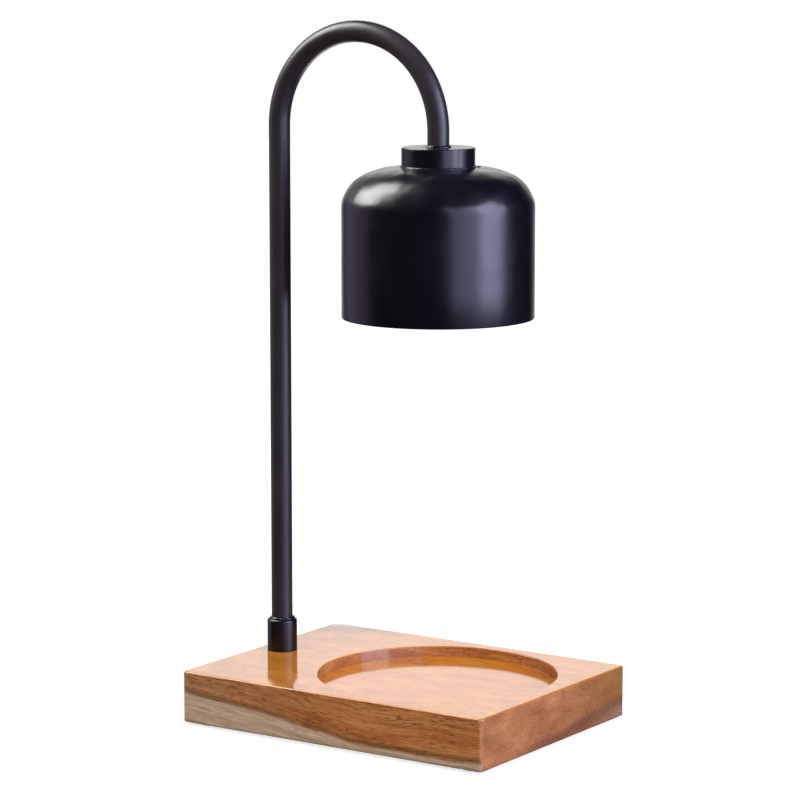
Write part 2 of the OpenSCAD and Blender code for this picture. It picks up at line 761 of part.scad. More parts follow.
// Route of the lead on one side of the arm: -1 for the front, 1 for the back.
// It runs from the terminal block, round under the arm, up inside it and down to its cup.
function lead_route(side) =
  let (
    inside_y = side * lead_pitch / 2,
    turn_x = arm_x + lead_turn_r,
    turn_z = lead_low_z + lead_turn_r,
    exit_z = tube_head_z - bush_flange
  )
  concat(
    [[block_x + lead_grip, side * pole_pitch / 2, lead_low_z]],
    [for (q = s_bend(block_x - turn_x, (pole_pitch - lead_pitch) / 2))
      [block_x - q[1], side * (pole_pitch / 2 - q[0]), lead_low_z]],
    [for (i = [1 : lead_steps])
      let (a = 270 - 90 * i / lead_steps)
      [turn_x + lead_turn_r * cos(a), inside_y, turn_z + lead_turn_r * sin(a)]],
    [for (i = [0 : arch_steps])
      let (a = 180 - 180 * i / arch_steps)
      [arm_x + bend_r * (1 + cos(a)), inside_y, bend_z + bend_r * sin(a)]],
    [for (q = s_bend(exit_z - well_z - cup_h, (pin_pitch - lead_pitch) / 2))
      [head_x, side * (lead_pitch / 2 + q[0]), exit_z - q[1]]],
    [[head_x, side * pin_pitch / 2, well_z + cup_floor]]
  );

function unit(v) = v / norm(v);

// Direction of a route at its point i
function heading(route, i) =
  let (last = len(route) - 1)
  i == 0 ? unit(route[1] - route[0])
  : i == last ? unit(route[last] - route[last - 1])
  : unit(unit(route[i + 1] - route[i]) + unit(route[i] - route[i - 1]));

// A round wire along a route that never runs straight along Y
module wire(route, d) {
  sides = 8;
  last = (len(route) - 1) * sides;
  rings = [for (i = [0 : len(route) - 1])
    let (t = heading(route, i), u = unit(cross(t, [0, 1, 0])), v = cross(t, u))
    for (j = [0 : sides - 1])
      let (a = 360 * j / sides) route[i] + d / 2 * (cos(a) * u + sin(a) * v)];
  skin = [for (i = [0 : sides : last - sides], j = [0 : sides - 1])
    let (k = (j + 1) % sides)
    each [[i + j, i + sides + k, i + k], [i + j, i + sides + j, i + sides + k]]];
  ends = [for (j = [1 : sides - 2]) each [[0, j, j + 1], [last, last + j + 1, last + j]]];
  polyhedron(points = rings, faces = concat(skin, ends));
}

module live_lead() { color("#6b3a24") wire(lead_route(-1), lead_d); }

module neutral_lead() { color("#3c5f9a") wire(lead_route(1), lead_d); }

// ---- Bulb ----

// Radius of the reflector at a height h of its curve: a parabola from front to neck
function reflector_radius(h) =
  let (ratio = pow(reflector_neck_d / bulb_d, 2))
  bulb_d / 2 * sqrt(1 - (1 - ratio) * h / reflector_h);

// Outline of the reflector from its front up, drawn inwards by a depth
function reflector_outline(depth) =
  [for (i = [0 : arc_steps])
    let (h = reflector_h * i / arc_steps) [reflector_radius(h) - depth, h]];

module bulb_reflector() {
  capsule_hole_r = capsule_d / 2 + hole_gap;
  top = reflector_h + reflector_neck_h;
  color("#c7cbd0") translate([head_x, 0, bulb_z + lens_t]) rotate_extrude() polygon(concat(
    reflector_outline(0),
    [[reflector_neck_d / 2, top], [capsule_hole_r, top], [capsule_hole_r, reflector_h]],
    reversed(reflector_outline(reflector_wall))
  ));
}

module bulb_lens() {
  edge = 0.5;
  color("#dfe8ee") translate([head_x, 0, bulb_z]) rotate_extrude() polygon([
    [0, 0], [bulb_d / 2 - edge, 0], [bulb_d / 2, edge], [bulb_d / 2, lens_t], [0, lens_t]
  ]);
}

module at_pins() {
  for (sy = [-1, 1]) translate([0, sy * pin_pitch / 2, 0]) children();
}

module bulb_base() {
  top_z = bulb_z + bulb_h;
  low_z = neck_top_z - base_grip;
  edge = 0.8;
  color("#f1eee6") translate([head_x, 0, 0]) difference() {
    union() {
      translate([0, 0, low_z]) cylinder(d = bulb_base_d, h = top_z - low_z - edge);
      translate([0, 0, top_z - edge])
        cylinder(d1 = bulb_base_d, d2 = bulb_base_d - 2 * edge, h = edge);
    }
    translate([0, 0, low_z - cut])
      cylinder(d = reflector_neck_d + 2 * fixed_gap, h = base_grip + cut);
    translate([0, 0, neck_top_z - cut])
      cylinder(d = capsule_d + 2 * fixed_gap, h = capsule_seat + cut);
    at_pins() translate([0, 0, top_z - pin_root])
      cylinder(d = pin_stem_d + 2 * fixed_gap, h = pin_root + cut);
  }
}

module bulb_pins() {
  color("#c4c6c9") translate([head_x, 0, pin_top_z]) at_pins() {
    translate([0, 0, -pin_h - pin_root]) cylinder(d = pin_stem_d, h = pin_h + pin_root);
    translate([0, 0, -pin_head_h]) cylinder(d = pin_head_d, h = pin_head_h);
  }
}

module bulb_capsule() {
  r = capsule_d / 2;
  inner_r = r - capsule_wall;
  low_z = hollow_top_z - capsule_hollow_h;
  color("#e8eef2") translate([head_x, 0, 0]) difference() {
    union() {
      translate([0, 0, low_z + inner_r]) cylinder(r = r, h = capsule_top_z - low_z - inner_r);
      translate([0, 0, low_z + inner_r]) sphere(r);
    }
    translate([0, 0, low_z + inner_r])
      cylinder(r = inner_r, h = capsule_hollow_h - inner_r);
    translate([0, 0, low_z + inner_r]) sphere(inner_r);
  }
}

// The coiled wire stands for its own envelope, with its two supports
module bulb_filament() {
  coil_d = 1.4;
  wire_d = 0.5;
  support_y = 2;
  color("#8a8f98") translate([head_x, 0, 0]) {
    translate([0, 0, filament_z]) cylinder(d = coil_d, h = filament_l);
    translate([0, 0, filament_z + filament_l - wire_d])
      cylinder(d = wire_d, h = hollow_top_z - filament_z - filament_l + wire_d);
    translate([0, support_y, filament_z])
      cylinder(d = wire_d, h = hollow_top_z - filament_z);
    translate([-wire_d / 2, 0, filament_z]) cube([wire_d, support_y, wire_d]);
  }
}

// ---- Drawing ----

base_board();
bottom_plate();
plate_screws();
rubber_feet();
cord_grommet();
terminal_block();
terminal_inserts();
terminal_screws();
block_screw();
arm_tube();
foot_collar();
foot_washer();
foot_nut();
foot_bush();
head_bush();
neck_cap();
shade();
head_washer();
head_nut();
socket_bracket();
socket_body();
socket_cover();
socket_contacts();
socket_screws();
live_lead();
neutral_lead();
bulb_reflector();
bulb_lens();
bulb_base();
bulb_pins();
bulb_capsule();
bulb_filament();
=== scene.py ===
# %% [markdown]
# # A candle warmer lamp
#
# A steel tube bent like a walking stick stands on a wooden board. It carries a black shade with a
# halogen reflector bulb that shines straight down on a round recess in the board.
#
# The construction comes in first, as a fixed frame in metres: X runs along the board from the arm
# to the shade, Y to the back, Z up from the table. Every later cell dresses that frame. It either
# gives a construction piece its finish, or models a finer piece that stands in its place.

# %% Open the frame
import json
import math

import bmesh
import bpy
from bmesh.types import BMEdge, BMVert
from mathutils import Matrix, Vector, noise


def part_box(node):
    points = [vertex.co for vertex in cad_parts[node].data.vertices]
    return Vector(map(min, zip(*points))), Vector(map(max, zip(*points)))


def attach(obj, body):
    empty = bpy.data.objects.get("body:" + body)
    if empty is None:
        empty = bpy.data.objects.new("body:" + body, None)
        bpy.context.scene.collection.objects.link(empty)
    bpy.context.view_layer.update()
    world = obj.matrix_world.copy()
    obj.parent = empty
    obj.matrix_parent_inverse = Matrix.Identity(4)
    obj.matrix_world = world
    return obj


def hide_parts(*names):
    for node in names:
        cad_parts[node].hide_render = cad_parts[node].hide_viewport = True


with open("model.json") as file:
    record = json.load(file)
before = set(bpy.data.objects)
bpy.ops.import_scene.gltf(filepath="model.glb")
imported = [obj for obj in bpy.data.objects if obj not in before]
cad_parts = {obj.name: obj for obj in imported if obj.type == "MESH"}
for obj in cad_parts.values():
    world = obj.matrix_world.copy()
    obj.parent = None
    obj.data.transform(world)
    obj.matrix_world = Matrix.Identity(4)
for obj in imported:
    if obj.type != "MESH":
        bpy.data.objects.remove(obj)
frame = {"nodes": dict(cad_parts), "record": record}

bpy.context.view_layer.update()
MM = 0.001
print("construction pieces:", len(frame["nodes"]))

# %% [markdown]
# ## Where things are
#
# The frame knows where each construction piece lies, so places are read from it and not typed
# again. Only sizes that a box can't give, such as a wall or a rounding, are written in this file.

# %% Read the main places from the frame


def corners(node):
    """The lowest and the highest corner of a construction piece's box."""
    return [Vector(corner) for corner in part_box(node)]


def middle(node):
    """The middle of a construction piece's box."""
    low, high = corners(node)
    return (low + high) / 2


def bottom(node):
    """The height of a construction piece's lowest point."""
    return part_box(node)[0][2]


def top(node):
    """The height of a construction piece's highest point."""
    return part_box(node)[1][2]


ARM_X = middle("foot_collar").x
HEAD_X = middle("shade").x
TUBE_R = 5 * MM
BEND_R = (HEAD_X - ARM_X) / 2
BEND_Z = top("arm_tube") - TUBE_R - BEND_R
BOARD_TOP = top("base_board")
RIM_Z = bottom("shade")
CROWN_Z = top("shade")
print(f"arm at {ARM_X / MM:.1f} mm, shade at {HEAD_X / MM:.1f} mm, bend {BEND_R / MM:.2f} mm")

# %% [markdown]
# ## The camera
#
# The photograph was taken with a long lens from a little above the lamp. The board's corners and
# the upright arm fix the view: the picture's vertical lines stay nearly parallel, and the top of
# the board shows as a thin slanted strip. A camera in the same place with the same lens repeats
# both, which a camera that is only turned the same way would not.

# %% Set up the camera
VIEW_AZIMUTH = 33.816
VIEW_ELEVATION = 8.662
CAMERA_PLACE = (0.82827, -1.24000, 0.37908)
LENS_MM = 147.43


def toward(azimuth, elevation):
    """Unit vector from the lamp to a place at that azimuth and elevation, in degrees."""
    a, e = math.radians(azimuth), math.radians(elevation)
    return Vector((math.sin(a) * math.cos(e), -math.cos(a) * math.cos(e), math.sin(e)))


camera = bpy.data.objects.new("camera", bpy.data.cameras.new("camera"))
bpy.context.scene.collection.objects.link(camera)
camera.data.sensor_width = 36
camera.data.lens = LENS_MM
camera.location = CAMERA_PLACE
camera.rotation_euler = (math.radians(90 - VIEW_ELEVATION), 0, math.radians(VIEW_AZIMUTH))
camera.data.clip_start, camera.data.clip_end = 0.05, 50
bpy.context.scene.camera = camera
bpy.context.scene.view_settings.view_transform = "Standard"
print("camera distance", round(camera.location.length, 3), "m")

# %% [markdown]
# ## Nodes without fuss
#
# A shader is a handful of nodes with settings and wires. One helper adds a node, sets it up and
# hands back its output, so that a chain of nodes reads like a sum, and three more cover what a
# shader asks for most: a step of arithmetic, a change of range and a mix of two colours. Colours
# are written as the hex values a paint shop would quote, and one function turns them into the
# linear values that light is worked out with.

# %% Helpers for node trees


def linear(hex_colour):
    """An sRGB hex colour as linear red, green, blue and alpha."""
    parts = [int(hex_colour[i:i + 2], 16) / 255 for i in (1, 3, 5)]
    return [c / 12.92 if c <= 0.04045 else ((c + 0.055) / 1.055) ** 2.4 for c in parts] + [1]


def add(tree, kind, inputs=(), **settings):
    """Adds a node and returns its output. Inputs are values or wires, in order or by name."""
    made = tree.nodes.new("ShaderNode" + kind)
    for name, value in settings.items():
        setattr(made, name, value)
    shown = [socket for socket in made.inputs if socket.enabled]
    if isinstance(inputs, dict):
        by_name = {socket.name: socket for socket in reversed(shown)}
        pairs = [(by_name[name], value) for name, value in inputs.items()]
    else:
        pairs = zip(shown, inputs)
    for socket, value in pairs:
        if isinstance(value, bpy.types.NodeSocket):
            tree.links.new(value, socket)
        else:
            socket.default_value = value
    return next((socket for socket in made.outputs if socket.enabled), None)


def calc(tree, operation, *inputs):
    """One step of arithmetic."""
    return add(tree, "Math", inputs, operation=operation)


def ramp(tree, value, from_low, from_high, to_low, to_high, soft=False):
    """Carries a value from one range over to another and stops at its ends, softly or at once."""
    return add(tree, "MapRange", (value, from_low, from_high, to_low, to_high),
               interpolation_type="SMOOTHSTEP" if soft else "LINEAR")


def blend(tree, share, under, over):
    """Lays a share of one colour over another. A colour is a hex value or a wire."""
    colours = [linear(colour) if isinstance(colour, str) else colour for colour in (under, over)]
    return add(tree, "Mix", (share, *colours), data_type="RGBA")


# %% [markdown]
# ## The studio
#
# The photograph has a white ground and few lights. The black shade works like a mirror that is
# out of focus, so it says where they stand: a tall soft box and a dim curtain at its right give
# the broad vertical highlight, a second box at its upper left gives the patch on the dome, and
# the side of the room where the camera stands is dark. The white ground behind the lamp is what
# makes the lacquered board look pale at this flat angle.
#
# The world is therefore white where the camera sees it. In reflections it is a white sheet,
# taller than wide, that hangs behind the lamp in a dark room. A brighter patch on it, the sheen,
# stands where the board's lacquer mirrors it: the camera looks down on the board at 13 to 14
# degrees, and on the cap at 4 to 5, so a patch a little higher spares the cap.

# %% Light the world
scene = bpy.context.scene
world = bpy.data.worlds.new("studio")
world.use_nodes = True
scene.world = world
tree = world.node_tree
tree.nodes.clear()
ROOM_GREY, BACKDROP_WHITE, AMBIENT = 0.015, 1.0, 0.16
BACKDROP_FROM, BACKDROP_FULL = 0.84, 0.985  # cosines of the angle from the backdrop's middle
SHEEN_FROM, SHEEN_FULL = 0.97, 0.99
SHEEN_WHITE, SHEEN_ELEVATION = 0.6, 17
HEIGHT_SHARE = 0.8  # heights count less, which makes the backdrop taller than wide

direction = add(tree, "TexCoord").node.outputs["Generated"]
squat = add(tree, "VectorMath", (direction, (1, 1, HEIGHT_SHARE)), operation="MULTIPLY")
squat = add(tree, "VectorMath", (squat,), operation="NORMALIZE")
behind = add(tree, "VectorMath", (squat, toward(VIEW_AZIMUTH + 180, 0)), operation="DOT_PRODUCT")
backdrop = ramp(tree, behind, BACKDROP_FROM, BACKDROP_FULL, ROOM_GREY, BACKDROP_WHITE, soft=True)
sheen = add(tree, "VectorMath", (direction, toward(VIEW_AZIMUTH + 180, SHEEN_ELEVATION)),
            operation="DOT_PRODUCT")
sheen = ramp(tree, sheen, SHEEN_FROM, SHEEN_FULL, 0.0, SHEEN_WHITE)
backdrop = calc(tree, "ADD", backdrop, sheen)
rays = add(tree, "LightPath").node.outputs
seen = add(tree, "Mix", (rays["Is Camera Ray"], backdrop, 1.0))
seen = add(tree, "Mix", (rays["Is Transmission Ray"], seen, 1.0))
strength = add(tree, "Mix", (rays["Is Diffuse Ray"], seen, AMBIENT))
add(tree, "OutputWorld", (add(tree, "Background", (linear("#ffffff"), strength)),))
print("world nodes:", len(tree.nodes))

# %% [markdown]
# Each light is a rectangle that faces the lamp, placed by its azimuth, elevation and distance. A
# photographer has one set of lights for everything, but here some serve the gloss alone and some
# the matt wood alone. So a highlight can be moved without changing how brightly the board is lit.

# %% Hang the lights
LAMP_MIDDLE = Vector((HEAD_X / 2, 0, 0.17))


def softbox(name, azimuth, elevation, distance, size, watts, colour, in_gloss=True, in_matt=True):
    """A rectangular light that faces the lamp, and may be left out of gloss or of matt surfaces."""
    light = bpy.data.lights.new(name, "AREA")
    light.shape = "RECTANGLE"
    light.size, light.size_y = size
    light.energy = watts
    light.color = linear(colour)[:3]
    ob = bpy.data.objects.new(name, light)
    scene.collection.objects.link(ob)
    away = toward(azimuth, elevation)
    ob.location = LAMP_MIDDLE + away * distance
    ob.rotation_euler = away.to_track_quat("Z", "Y").to_euler()
    ob.visible_camera = False
    ob.visible_glossy = in_gloss
    ob.visible_diffuse = in_matt


softbox("right box", 99, 14, 1.1, (0.6, 1.0), 18, "#d0d5fa")
softbox("right curtain", 70, 12, 1.1, (0.85, 0.95), 9, "#ced3fa", in_matt=False)
softbox("upper left box", -74, 44, 1.2, (0.65, 0.9), 27, "#fffefb", in_matt=False)
softbox("left wall", -82, 3, 1.3, (1.2, 1.4), 2.7, "#eed7ff", in_matt=False)
softbox("floor behind", 200, -34, 1.2, (0.9, 0.5), 5, "#fff8f4", in_matt=False)
softbox("top light", -10, 84, 1.2, (0.9, 0.9), 12, "#fffaf2", in_gloss=False)
softbox("fill", 0, 20, 1.6, (1.2, 1.2), 14, "#fff6ee", in_gloss=False)

# %% [markdown]
# The lamp itself is switched on in the photograph and warms the board round the recess. A weak
# spot just under the bulb's front does the same.

# %% Switch the bulb on
BULB_CONE_DEG, BULB_WATTS = 95, 0.6
BULB_GLOW_R = 15 * MM
bulb_light = bpy.data.lights.new("bulb light", "SPOT")
bulb_light.energy, bulb_light.color = BULB_WATTS, linear("#ffdda6")[:3]
bulb_light.spot_size, bulb_light.spot_blend = math.radians(BULB_CONE_DEG), 1.0
bulb_light.shadow_soft_size = BULB_GLOW_R
glow = bpy.data.objects.new("bulb light", bulb_light)
scene.collection.objects.link(glow)
glow.location = (HEAD_X, 0, RIM_Z - 1 * MM)
glow.visible_camera = False
glow.visible_glossy = False

# %% [markdown]
# The floor is a plain pale sheet. What the camera sees of it is lifted to white, and its shadow
# stays. It is kept out of reflections, where its front would turn the shade's wall grey: in a
# studio a black card does that.

# %% Lay the floor
FLOOR_HALF = 3.0
NEAR, FAR = 0.2, 1.0  # metres from the middle of the board
LIFT_NEAR, LIFT_FAR = 0.76, 1.0

floor_paper = bpy.data.materials.new("matt white paper")
floor_paper.use_nodes = True
tree = floor_paper.node_tree
tree.nodes.clear()
matt = add(tree, "BsdfDiffuse", {"Color": linear("#bcbcbc")})
place = add(tree, "TexCoord").node.outputs["Object"]
distance = add(tree, "VectorMath", (place,), operation="LENGTH")
lift = ramp(tree, distance, NEAR, FAR, LIFT_NEAR, LIFT_FAR)
lifted = add(tree, "AddShader", (matt, add(tree, "Emission", {"Strength": lift})))
rays = add(tree, "LightPath").node.outputs
paper = add(tree, "MixShader", (rays["Is Camera Ray"], matt, lifted))
add(tree, "OutputMaterial", (paper,))

bm = bmesh.new()
bmesh.ops.create_grid(bm, x_segments=1, y_segments=1, size=FLOOR_HALF)
floor_mesh = bpy.data.meshes.new("floor")
bm.to_mesh(floor_mesh)
bm.free()
floor_mesh.materials.append(floor_paper)
floor = bpy.data.objects.new("floor", floor_mesh)
scene.collection.objects.link(floor)
floor.visible_glossy = False

# %% [markdown]
# ## Finishes
#
# Each finish is made once and named for what it really is. `start_finish` gives a Principled
# shader and the piece's own coordinates in millimetres, so a pattern's scale can be read off as
# a real size.

# %% Helpers for finishes
finishes = {}
NOISE_SPAN = (0.3, 0.7)  # noise rarely leaves it


def start_finish(slot, name, **values):
    """A new material for a slot of the record, with its shader's inputs and coordinates in mm."""
    material = bpy.data.materials.new(name)
    material.use_nodes = True
    tree = material.node_tree
    inputs = tree.nodes["Principled BSDF"].inputs
    for key, value in values.items():
        inputs[key.replace("_", " ")].default_value = value
    place = add(tree, "TexCoord").node.outputs["Object"]
    in_mm = add(tree, "VectorMath", {"Vector": place, "Scale": 1 / MM}, operation="SCALE")
    finishes[slot] = material
    return tree, inputs, in_mm


def grain(tree, in_mm, size_mm, detail=2.0):
    """Noise whose patches are about size_mm across: one number, or one each for X, Y and Z."""
    sizes = size_mm if isinstance(size_mm, tuple) else (size_mm,) * 3
    scaled = add(tree, "VectorMath", (in_mm, [1 / s for s in sizes]), operation="MULTIPLY")
    return add(tree, "TexNoise", {"Vector": scaled, "Scale": 1.0, "Detail": detail})


def uneven(tree, inputs, pattern, dark, light, smooth, rough):
    """Lets a pattern lead the colour from dark to light and the roughness from smooth to rough."""
    tree.links.new(blend(tree, pattern, dark, light), inputs["Base Color"])
    tree.links.new(ramp(tree, pattern, *NOISE_SPAN, smooth, rough), inputs["Roughness"])


def emboss(tree, inputs, pattern, height, skin="Normal"):
    """Lets a pattern raise the surface, or the coat on it, by up to that height."""
    tree.links.new(add(tree, "Bump", {"Height": pattern, "Distance": height}), inputs[skin])


# %% [markdown]
# ### Powder coat
#
# The arm, its collar, the cap and the shade are steel with a satin black powder coat. Powder is
# sprayed on dry and melts in an oven, which leaves a skin like fine orange peel: the highlight
# has a soft edge with a little unrest in it. The real peel is under a millimetre wide, which is
# too fine to show, so it is drawn at nearly two. It is only microns high, and so it is a bump and
# not geometry. The thin tube came out a little more matt than the shade, and its black is painted
# lighter, which stands in for the dull light the arm reflects. That coat is no slot of the record,
# so it is kept aside for the arm.

# %% Satin black powder coat
PEEL_MM, PEEL_HEIGHT = 1.8, 0.005 * MM
CLOUD_MM = 14  # patches of slightly thicker and thinner powder
for slot, name, dark, light, smooth, rough in (
    ("black_powder_coat", "satin black powder coat", "#06050e", "#0b0a16", 0.27, 0.33),
    # the tube's black is painted lighter, standing in for the dull light the arm reflects
    ("tube", "matt black powder coat", "#211c22", "#29242a", 0.36, 0.44),
):
    tree, inputs, in_mm = start_finish(slot, name, IOR=1.47)
    uneven(tree, inputs, grain(tree, in_mm, CLOUD_MM), dark, light, smooth, rough)
    emboss(tree, inputs, grain(tree, in_mm, PEEL_MM, 3), PEEL_HEIGHT)
lightened_tube_coat = finishes.pop("tube")

# %% [markdown]
# ### Lacquered acacia
#
# The board is solid acacia under a satin lacquer. A solid texture suits it best: it is worked out
# from the place in the block, so the sides, the end and the recess agree where they meet, as
# they do on a sawn board. Its grain runs along X and falls a little towards the right, and the
# tree's rings are parts of wide circles whose centre is far above the board.
#
# Below the brown heartwood lies grey-beige sapwood: more than half of the board's thickness at
# the left end of the front, and a sliver at its right. `under` is the height of the boundary,
# and `sway` lets it wander. The last ring of the heartwood is the darkest.

# %% Acacia: where the heartwood ends
tree, inputs, in_mm = start_finish(
    "acacia", "lacquered acacia", Roughness=0.5, Specular_IOR_Level=0.0,
    Coat_Weight=1.0, Coat_Roughness=0.09, Coat_IOR=1.5)
board_low, board_high = (corner / MM for corner in corners("base_board"))
PITH_UP, PITH_Y = 650.0, -55.0  # the tree's centre, above the board's underside, in mm
STEEP_LEFT, STEEP_RIGHT, STEEP_X = 16.2, 4.5, 18.0  # heights, and where the steep part ends
FLAT_LEFT, FLAT_RIGHT = 11.0, 1.0
SWAY_MM, SWAY_BY = (46, 30, 18), 1.4

x, y, z = add(tree, "SeparateXYZ", (in_mm,)).node.outputs
height = calc(tree, "SUBTRACT", z, board_low.z)
steep = ramp(tree, x, board_low.x, STEEP_X, STEEP_LEFT, STEEP_RIGHT)
flat = ramp(tree, x, board_low.x, board_high.x, FLAT_LEFT, FLAT_RIGHT)
under = calc(tree, "MAXIMUM", steep, flat)
sway = ramp(tree, grain(tree, in_mm, SWAY_MM), 0.25, 0.75, -SWAY_BY, SWAY_BY)
level = calc(tree, "SUBTRACT", height, under)
level = calc(tree, "ADD", level, sway)
along = add(tree, "CombineXYZ", (x, y, level))
from_pith = add(tree, "CombineXYZ", (
    0.0, calc(tree, "SUBTRACT", y, PITH_Y), calc(tree, "SUBTRACT", level, PITH_UP)))
past_heart = add(tree, "VectorMath", (from_pith,), operation="LENGTH")
past_heart = calc(tree, "SUBTRACT", past_heart, PITH_UP)
sap = ramp(tree, past_heart, -0.6, 2.2, 0.0, 1.0, soft=True)
last_ring = calc(tree, "ABSOLUTE", past_heart)
last_ring = ramp(tree, last_ring, 0.2, 2.4, 0.68, 0.0, soft=True)

# %% [markdown]
# Along the grain the eye sees three things: broad shifts of brown, fine fibres, and the pores,
# which are cut lengthwise into dark reddish dashes 3 to 8 mm long that come in crowds. Towards
# the left end the brown is duller. The top is painted a saturated golden, which stands in for the
# warm light that falls on it.

# %% Acacia: long grain
BAND_MM, FIBRE_MM = (60, 12, 2.4), (13, 0.45, 0.45)
PORE_MM, CROWD_MM = (4.6, 0.62, 0.52), (24, 9, 5)

normal = add(tree, "NewGeometry").node.outputs["Normal"]
facing_x, _, facing_z = add(tree, "SeparateXYZ", (normal,)).node.outputs
bands = ramp(tree, grain(tree, along, BAND_MM, 3), 0.35, 0.65, 0.0, 1.0)
heart = blend(tree, bands, "#9a5c30", "#bb7f4e")
dull = ramp(tree, x, board_low.x, board_low.x + 75, 0.6, 0.0)
heart = blend(tree, dull, heart, "#9a7a5c")
# painted warm light: the top face is tinted golden, standing in for the warm light on it
warm_light_on_top = blend(tree, bands, "#b77208", "#d0850f")
on_top = ramp(tree, facing_z, 0.15, 0.6, 0.0, 0.75)
heart = blend(tree, on_top, heart, warm_light_on_top)
pale = blend(tree, bands, "#a38e77", "#cab59d")
long_grain = blend(tree, sap, heart, pale)
long_grain = blend(tree, last_ring, long_grain, "#664726")
fibre = grain(tree, along, FIBRE_MM, 3)
shade_side = ramp(tree, fibre, 0.32, 0.52, 0.42, 0.0)
long_grain = blend(tree, shade_side, long_grain, "#6b3d1e")
light_side = ramp(tree, fibre, 0.52, 0.7, 0.0, 0.3)
long_grain = blend(tree, light_side, long_grain, "#d2a070")
dash = grain(tree, along, PORE_MM)
crowd = ramp(tree, grain(tree, along, CROWD_MM), 0.3, 0.7, -0.07, 0.06)
pore = calc(tree, "ADD", dash, crowd)
pore = ramp(tree, pore, 0.55, 0.63, 0.0, 0.66)
for hides in (sap, on_top):
    kept = ramp(tree, hides, 0.0, 1.0, 1.0, 0.3)
    pore = calc(tree, "MULTIPLY", pore, kept)
long_grain = blend(tree, pore, long_grain, "#61301a")

# %% [markdown]
# The saw cuts the pores across on the short side. There they are dots, the bands blur into soft
# clouds, and the wood drinks more lacquer. A purple-brown streak rises slowly to the back, where
# the wood turns olive, and pale again in the lowest corner.

# %% Acacia: end grain
BLUR_MM, DOT_MM = (30, 18, 8), 0.8
STREAK_Y, STREAK_FRONT, STREAK_BACK = 62.0, -1.0, 6.5  # its heights that far to the front and back

cloud = ramp(tree, grain(tree, in_mm, BLUR_MM), 0.25, 0.75, 0.0, 1.0)
end_grain = blend(tree, cloud, "#955b39", "#cd8d5b")
olive = ramp(tree, y, 5.0, 55.0, 0.0, 0.65)
end_grain = blend(tree, olive, end_grain, "#8e622e")
streak_height = ramp(tree, y, -STREAK_Y, STREAK_Y, STREAK_FRONT, STREAK_BACK)
off_streak = calc(tree, "SUBTRACT", height, streak_height)
off_streak = calc(tree, "ADD", off_streak, sway)
off_streak = calc(tree, "ABSOLUTE", off_streak)
streak = ramp(tree, off_streak, 0.5, 6.0, 0.68, 0.0, soft=True)
streak = calc(tree, "MULTIPLY", streak, ramp(tree, y, -50.0, -12.0, 0.0, 1.0))
end_grain = blend(tree, streak, end_grain, "#673f33")
back = ramp(tree, y, 25.0, 55.0, 0.0, 0.8)
low_down = ramp(tree, height, 9.0, 3.0, 0.0, 1.0)
low_back = calc(tree, "MULTIPLY", back, low_down)
end_grain = blend(tree, low_back, end_grain, "#a07c62")
dots = grain(tree, in_mm, DOT_MM, 3)
speck = ramp(tree, dots, 0.3, 0.52, 0.55, 0.0)
end_grain = blend(tree, speck, end_grain, "#56301f")
# painted glints: pale dots that stand in for light caught on the cut fibres
glint = ramp(tree, dots, 0.58, 0.75, 0.0, 0.35)
end_grain = blend(tree, glint, end_grain, "#dba67c")
on_end = calc(tree, "ABSOLUTE", facing_x)
on_end = ramp(tree, on_end, 0.72, 0.93, 0.0, 1.0)
wood = blend(tree, on_end, long_grain, end_grain)

# %% [markdown]
# The four upright corners are paler: sandpaper takes some colour off them, and the pale band is
# also a painted highlight of their rounding. The lowest millimetre of the sides is darker. The
# open pores roughen the wood, and the lacquer's skin follows them only faintly.

# %% Acacia: worn and highlit corners, darker lower edge and open pores
PALE_CORNER_MM, NICK_MM, SKIN_MM = 1.7, (3, 3, 4), (3, 0.8, 0.8)
FIBRE_HEIGHT, SKIN_HEIGHT = 0.02 * MM, 0.004 * MM

# pale band on the upright corners: part sandpaper wear, part a painted highlight of their rounding
worn_and_highlit = ramp(tree, grain(tree, in_mm, NICK_MM, 3), 0.3, 0.6, 0.15, 0.7)
for axis, edge in ((x, board_high.x), (y, board_high.y)):
    off = calc(tree, "ABSOLUTE", axis)
    near = ramp(tree, off, edge - PALE_CORNER_MM, edge - 0.4, 0.0, 1.0)
    worn_and_highlit = calc(tree, "MULTIPLY", worn_and_highlit, near)
wood = blend(tree, worn_and_highlit, wood, "#cfa288")
# the lowest millimetre of the sides is darker
darker_low_edge = ramp(tree, height, 0.3, 1.3, 0.55, 0.0)
wood = blend(tree, darker_low_edge, wood, "#54432c")
tree.links.new(wood, inputs["Base Color"])
emboss(tree, inputs, fibre, FIBRE_HEIGHT)
emboss(tree, inputs, grain(tree, along, SKIN_MM), SKIN_HEIGHT, "Coat Normal")

# %% [markdown]
# ### The small parts' finishes
#
# The rest is what a lamp maker buys in: zinc-plated steel, brass, nickel, rubber, nylon, the
# unglazed white ceramic of lamp holders, pressed glass and tungsten wire. Each gets the one
# irregularity that the eye expects of it, at its real size: spangle, tarnish, haze, bloom.

# %% Metals
for slot, name, patch_mm, dark, light, smooth, rough in (
    ("zinc_steel", "zinc-plated steel", 1.5, "#aeb2b8", "#c9cbd0", 0.28, 0.42),
    ("brass", "turned brass", 2.5, "#b98d3f", "#d9b769", 0.22, 0.36),
    ("nickel", "nickel-plated brass", 1.2, "#b6b1a6", "#cbc7bd", 0.16, 0.3),
    ("tungsten", "drawn tungsten wire", 0.3, "#5d5f66", "#85878f", 0.35, 0.5),
    ("reflector_glass", "aluminised pressed glass", 3.0, "#c4c7cb", "#dcdee1", 0.07, 0.14),
):
    tree, inputs, in_mm = start_finish(slot, name, Metallic=1.0)
    uneven(tree, inputs, grain(tree, in_mm, patch_mm, 3), dark, light, smooth, rough)

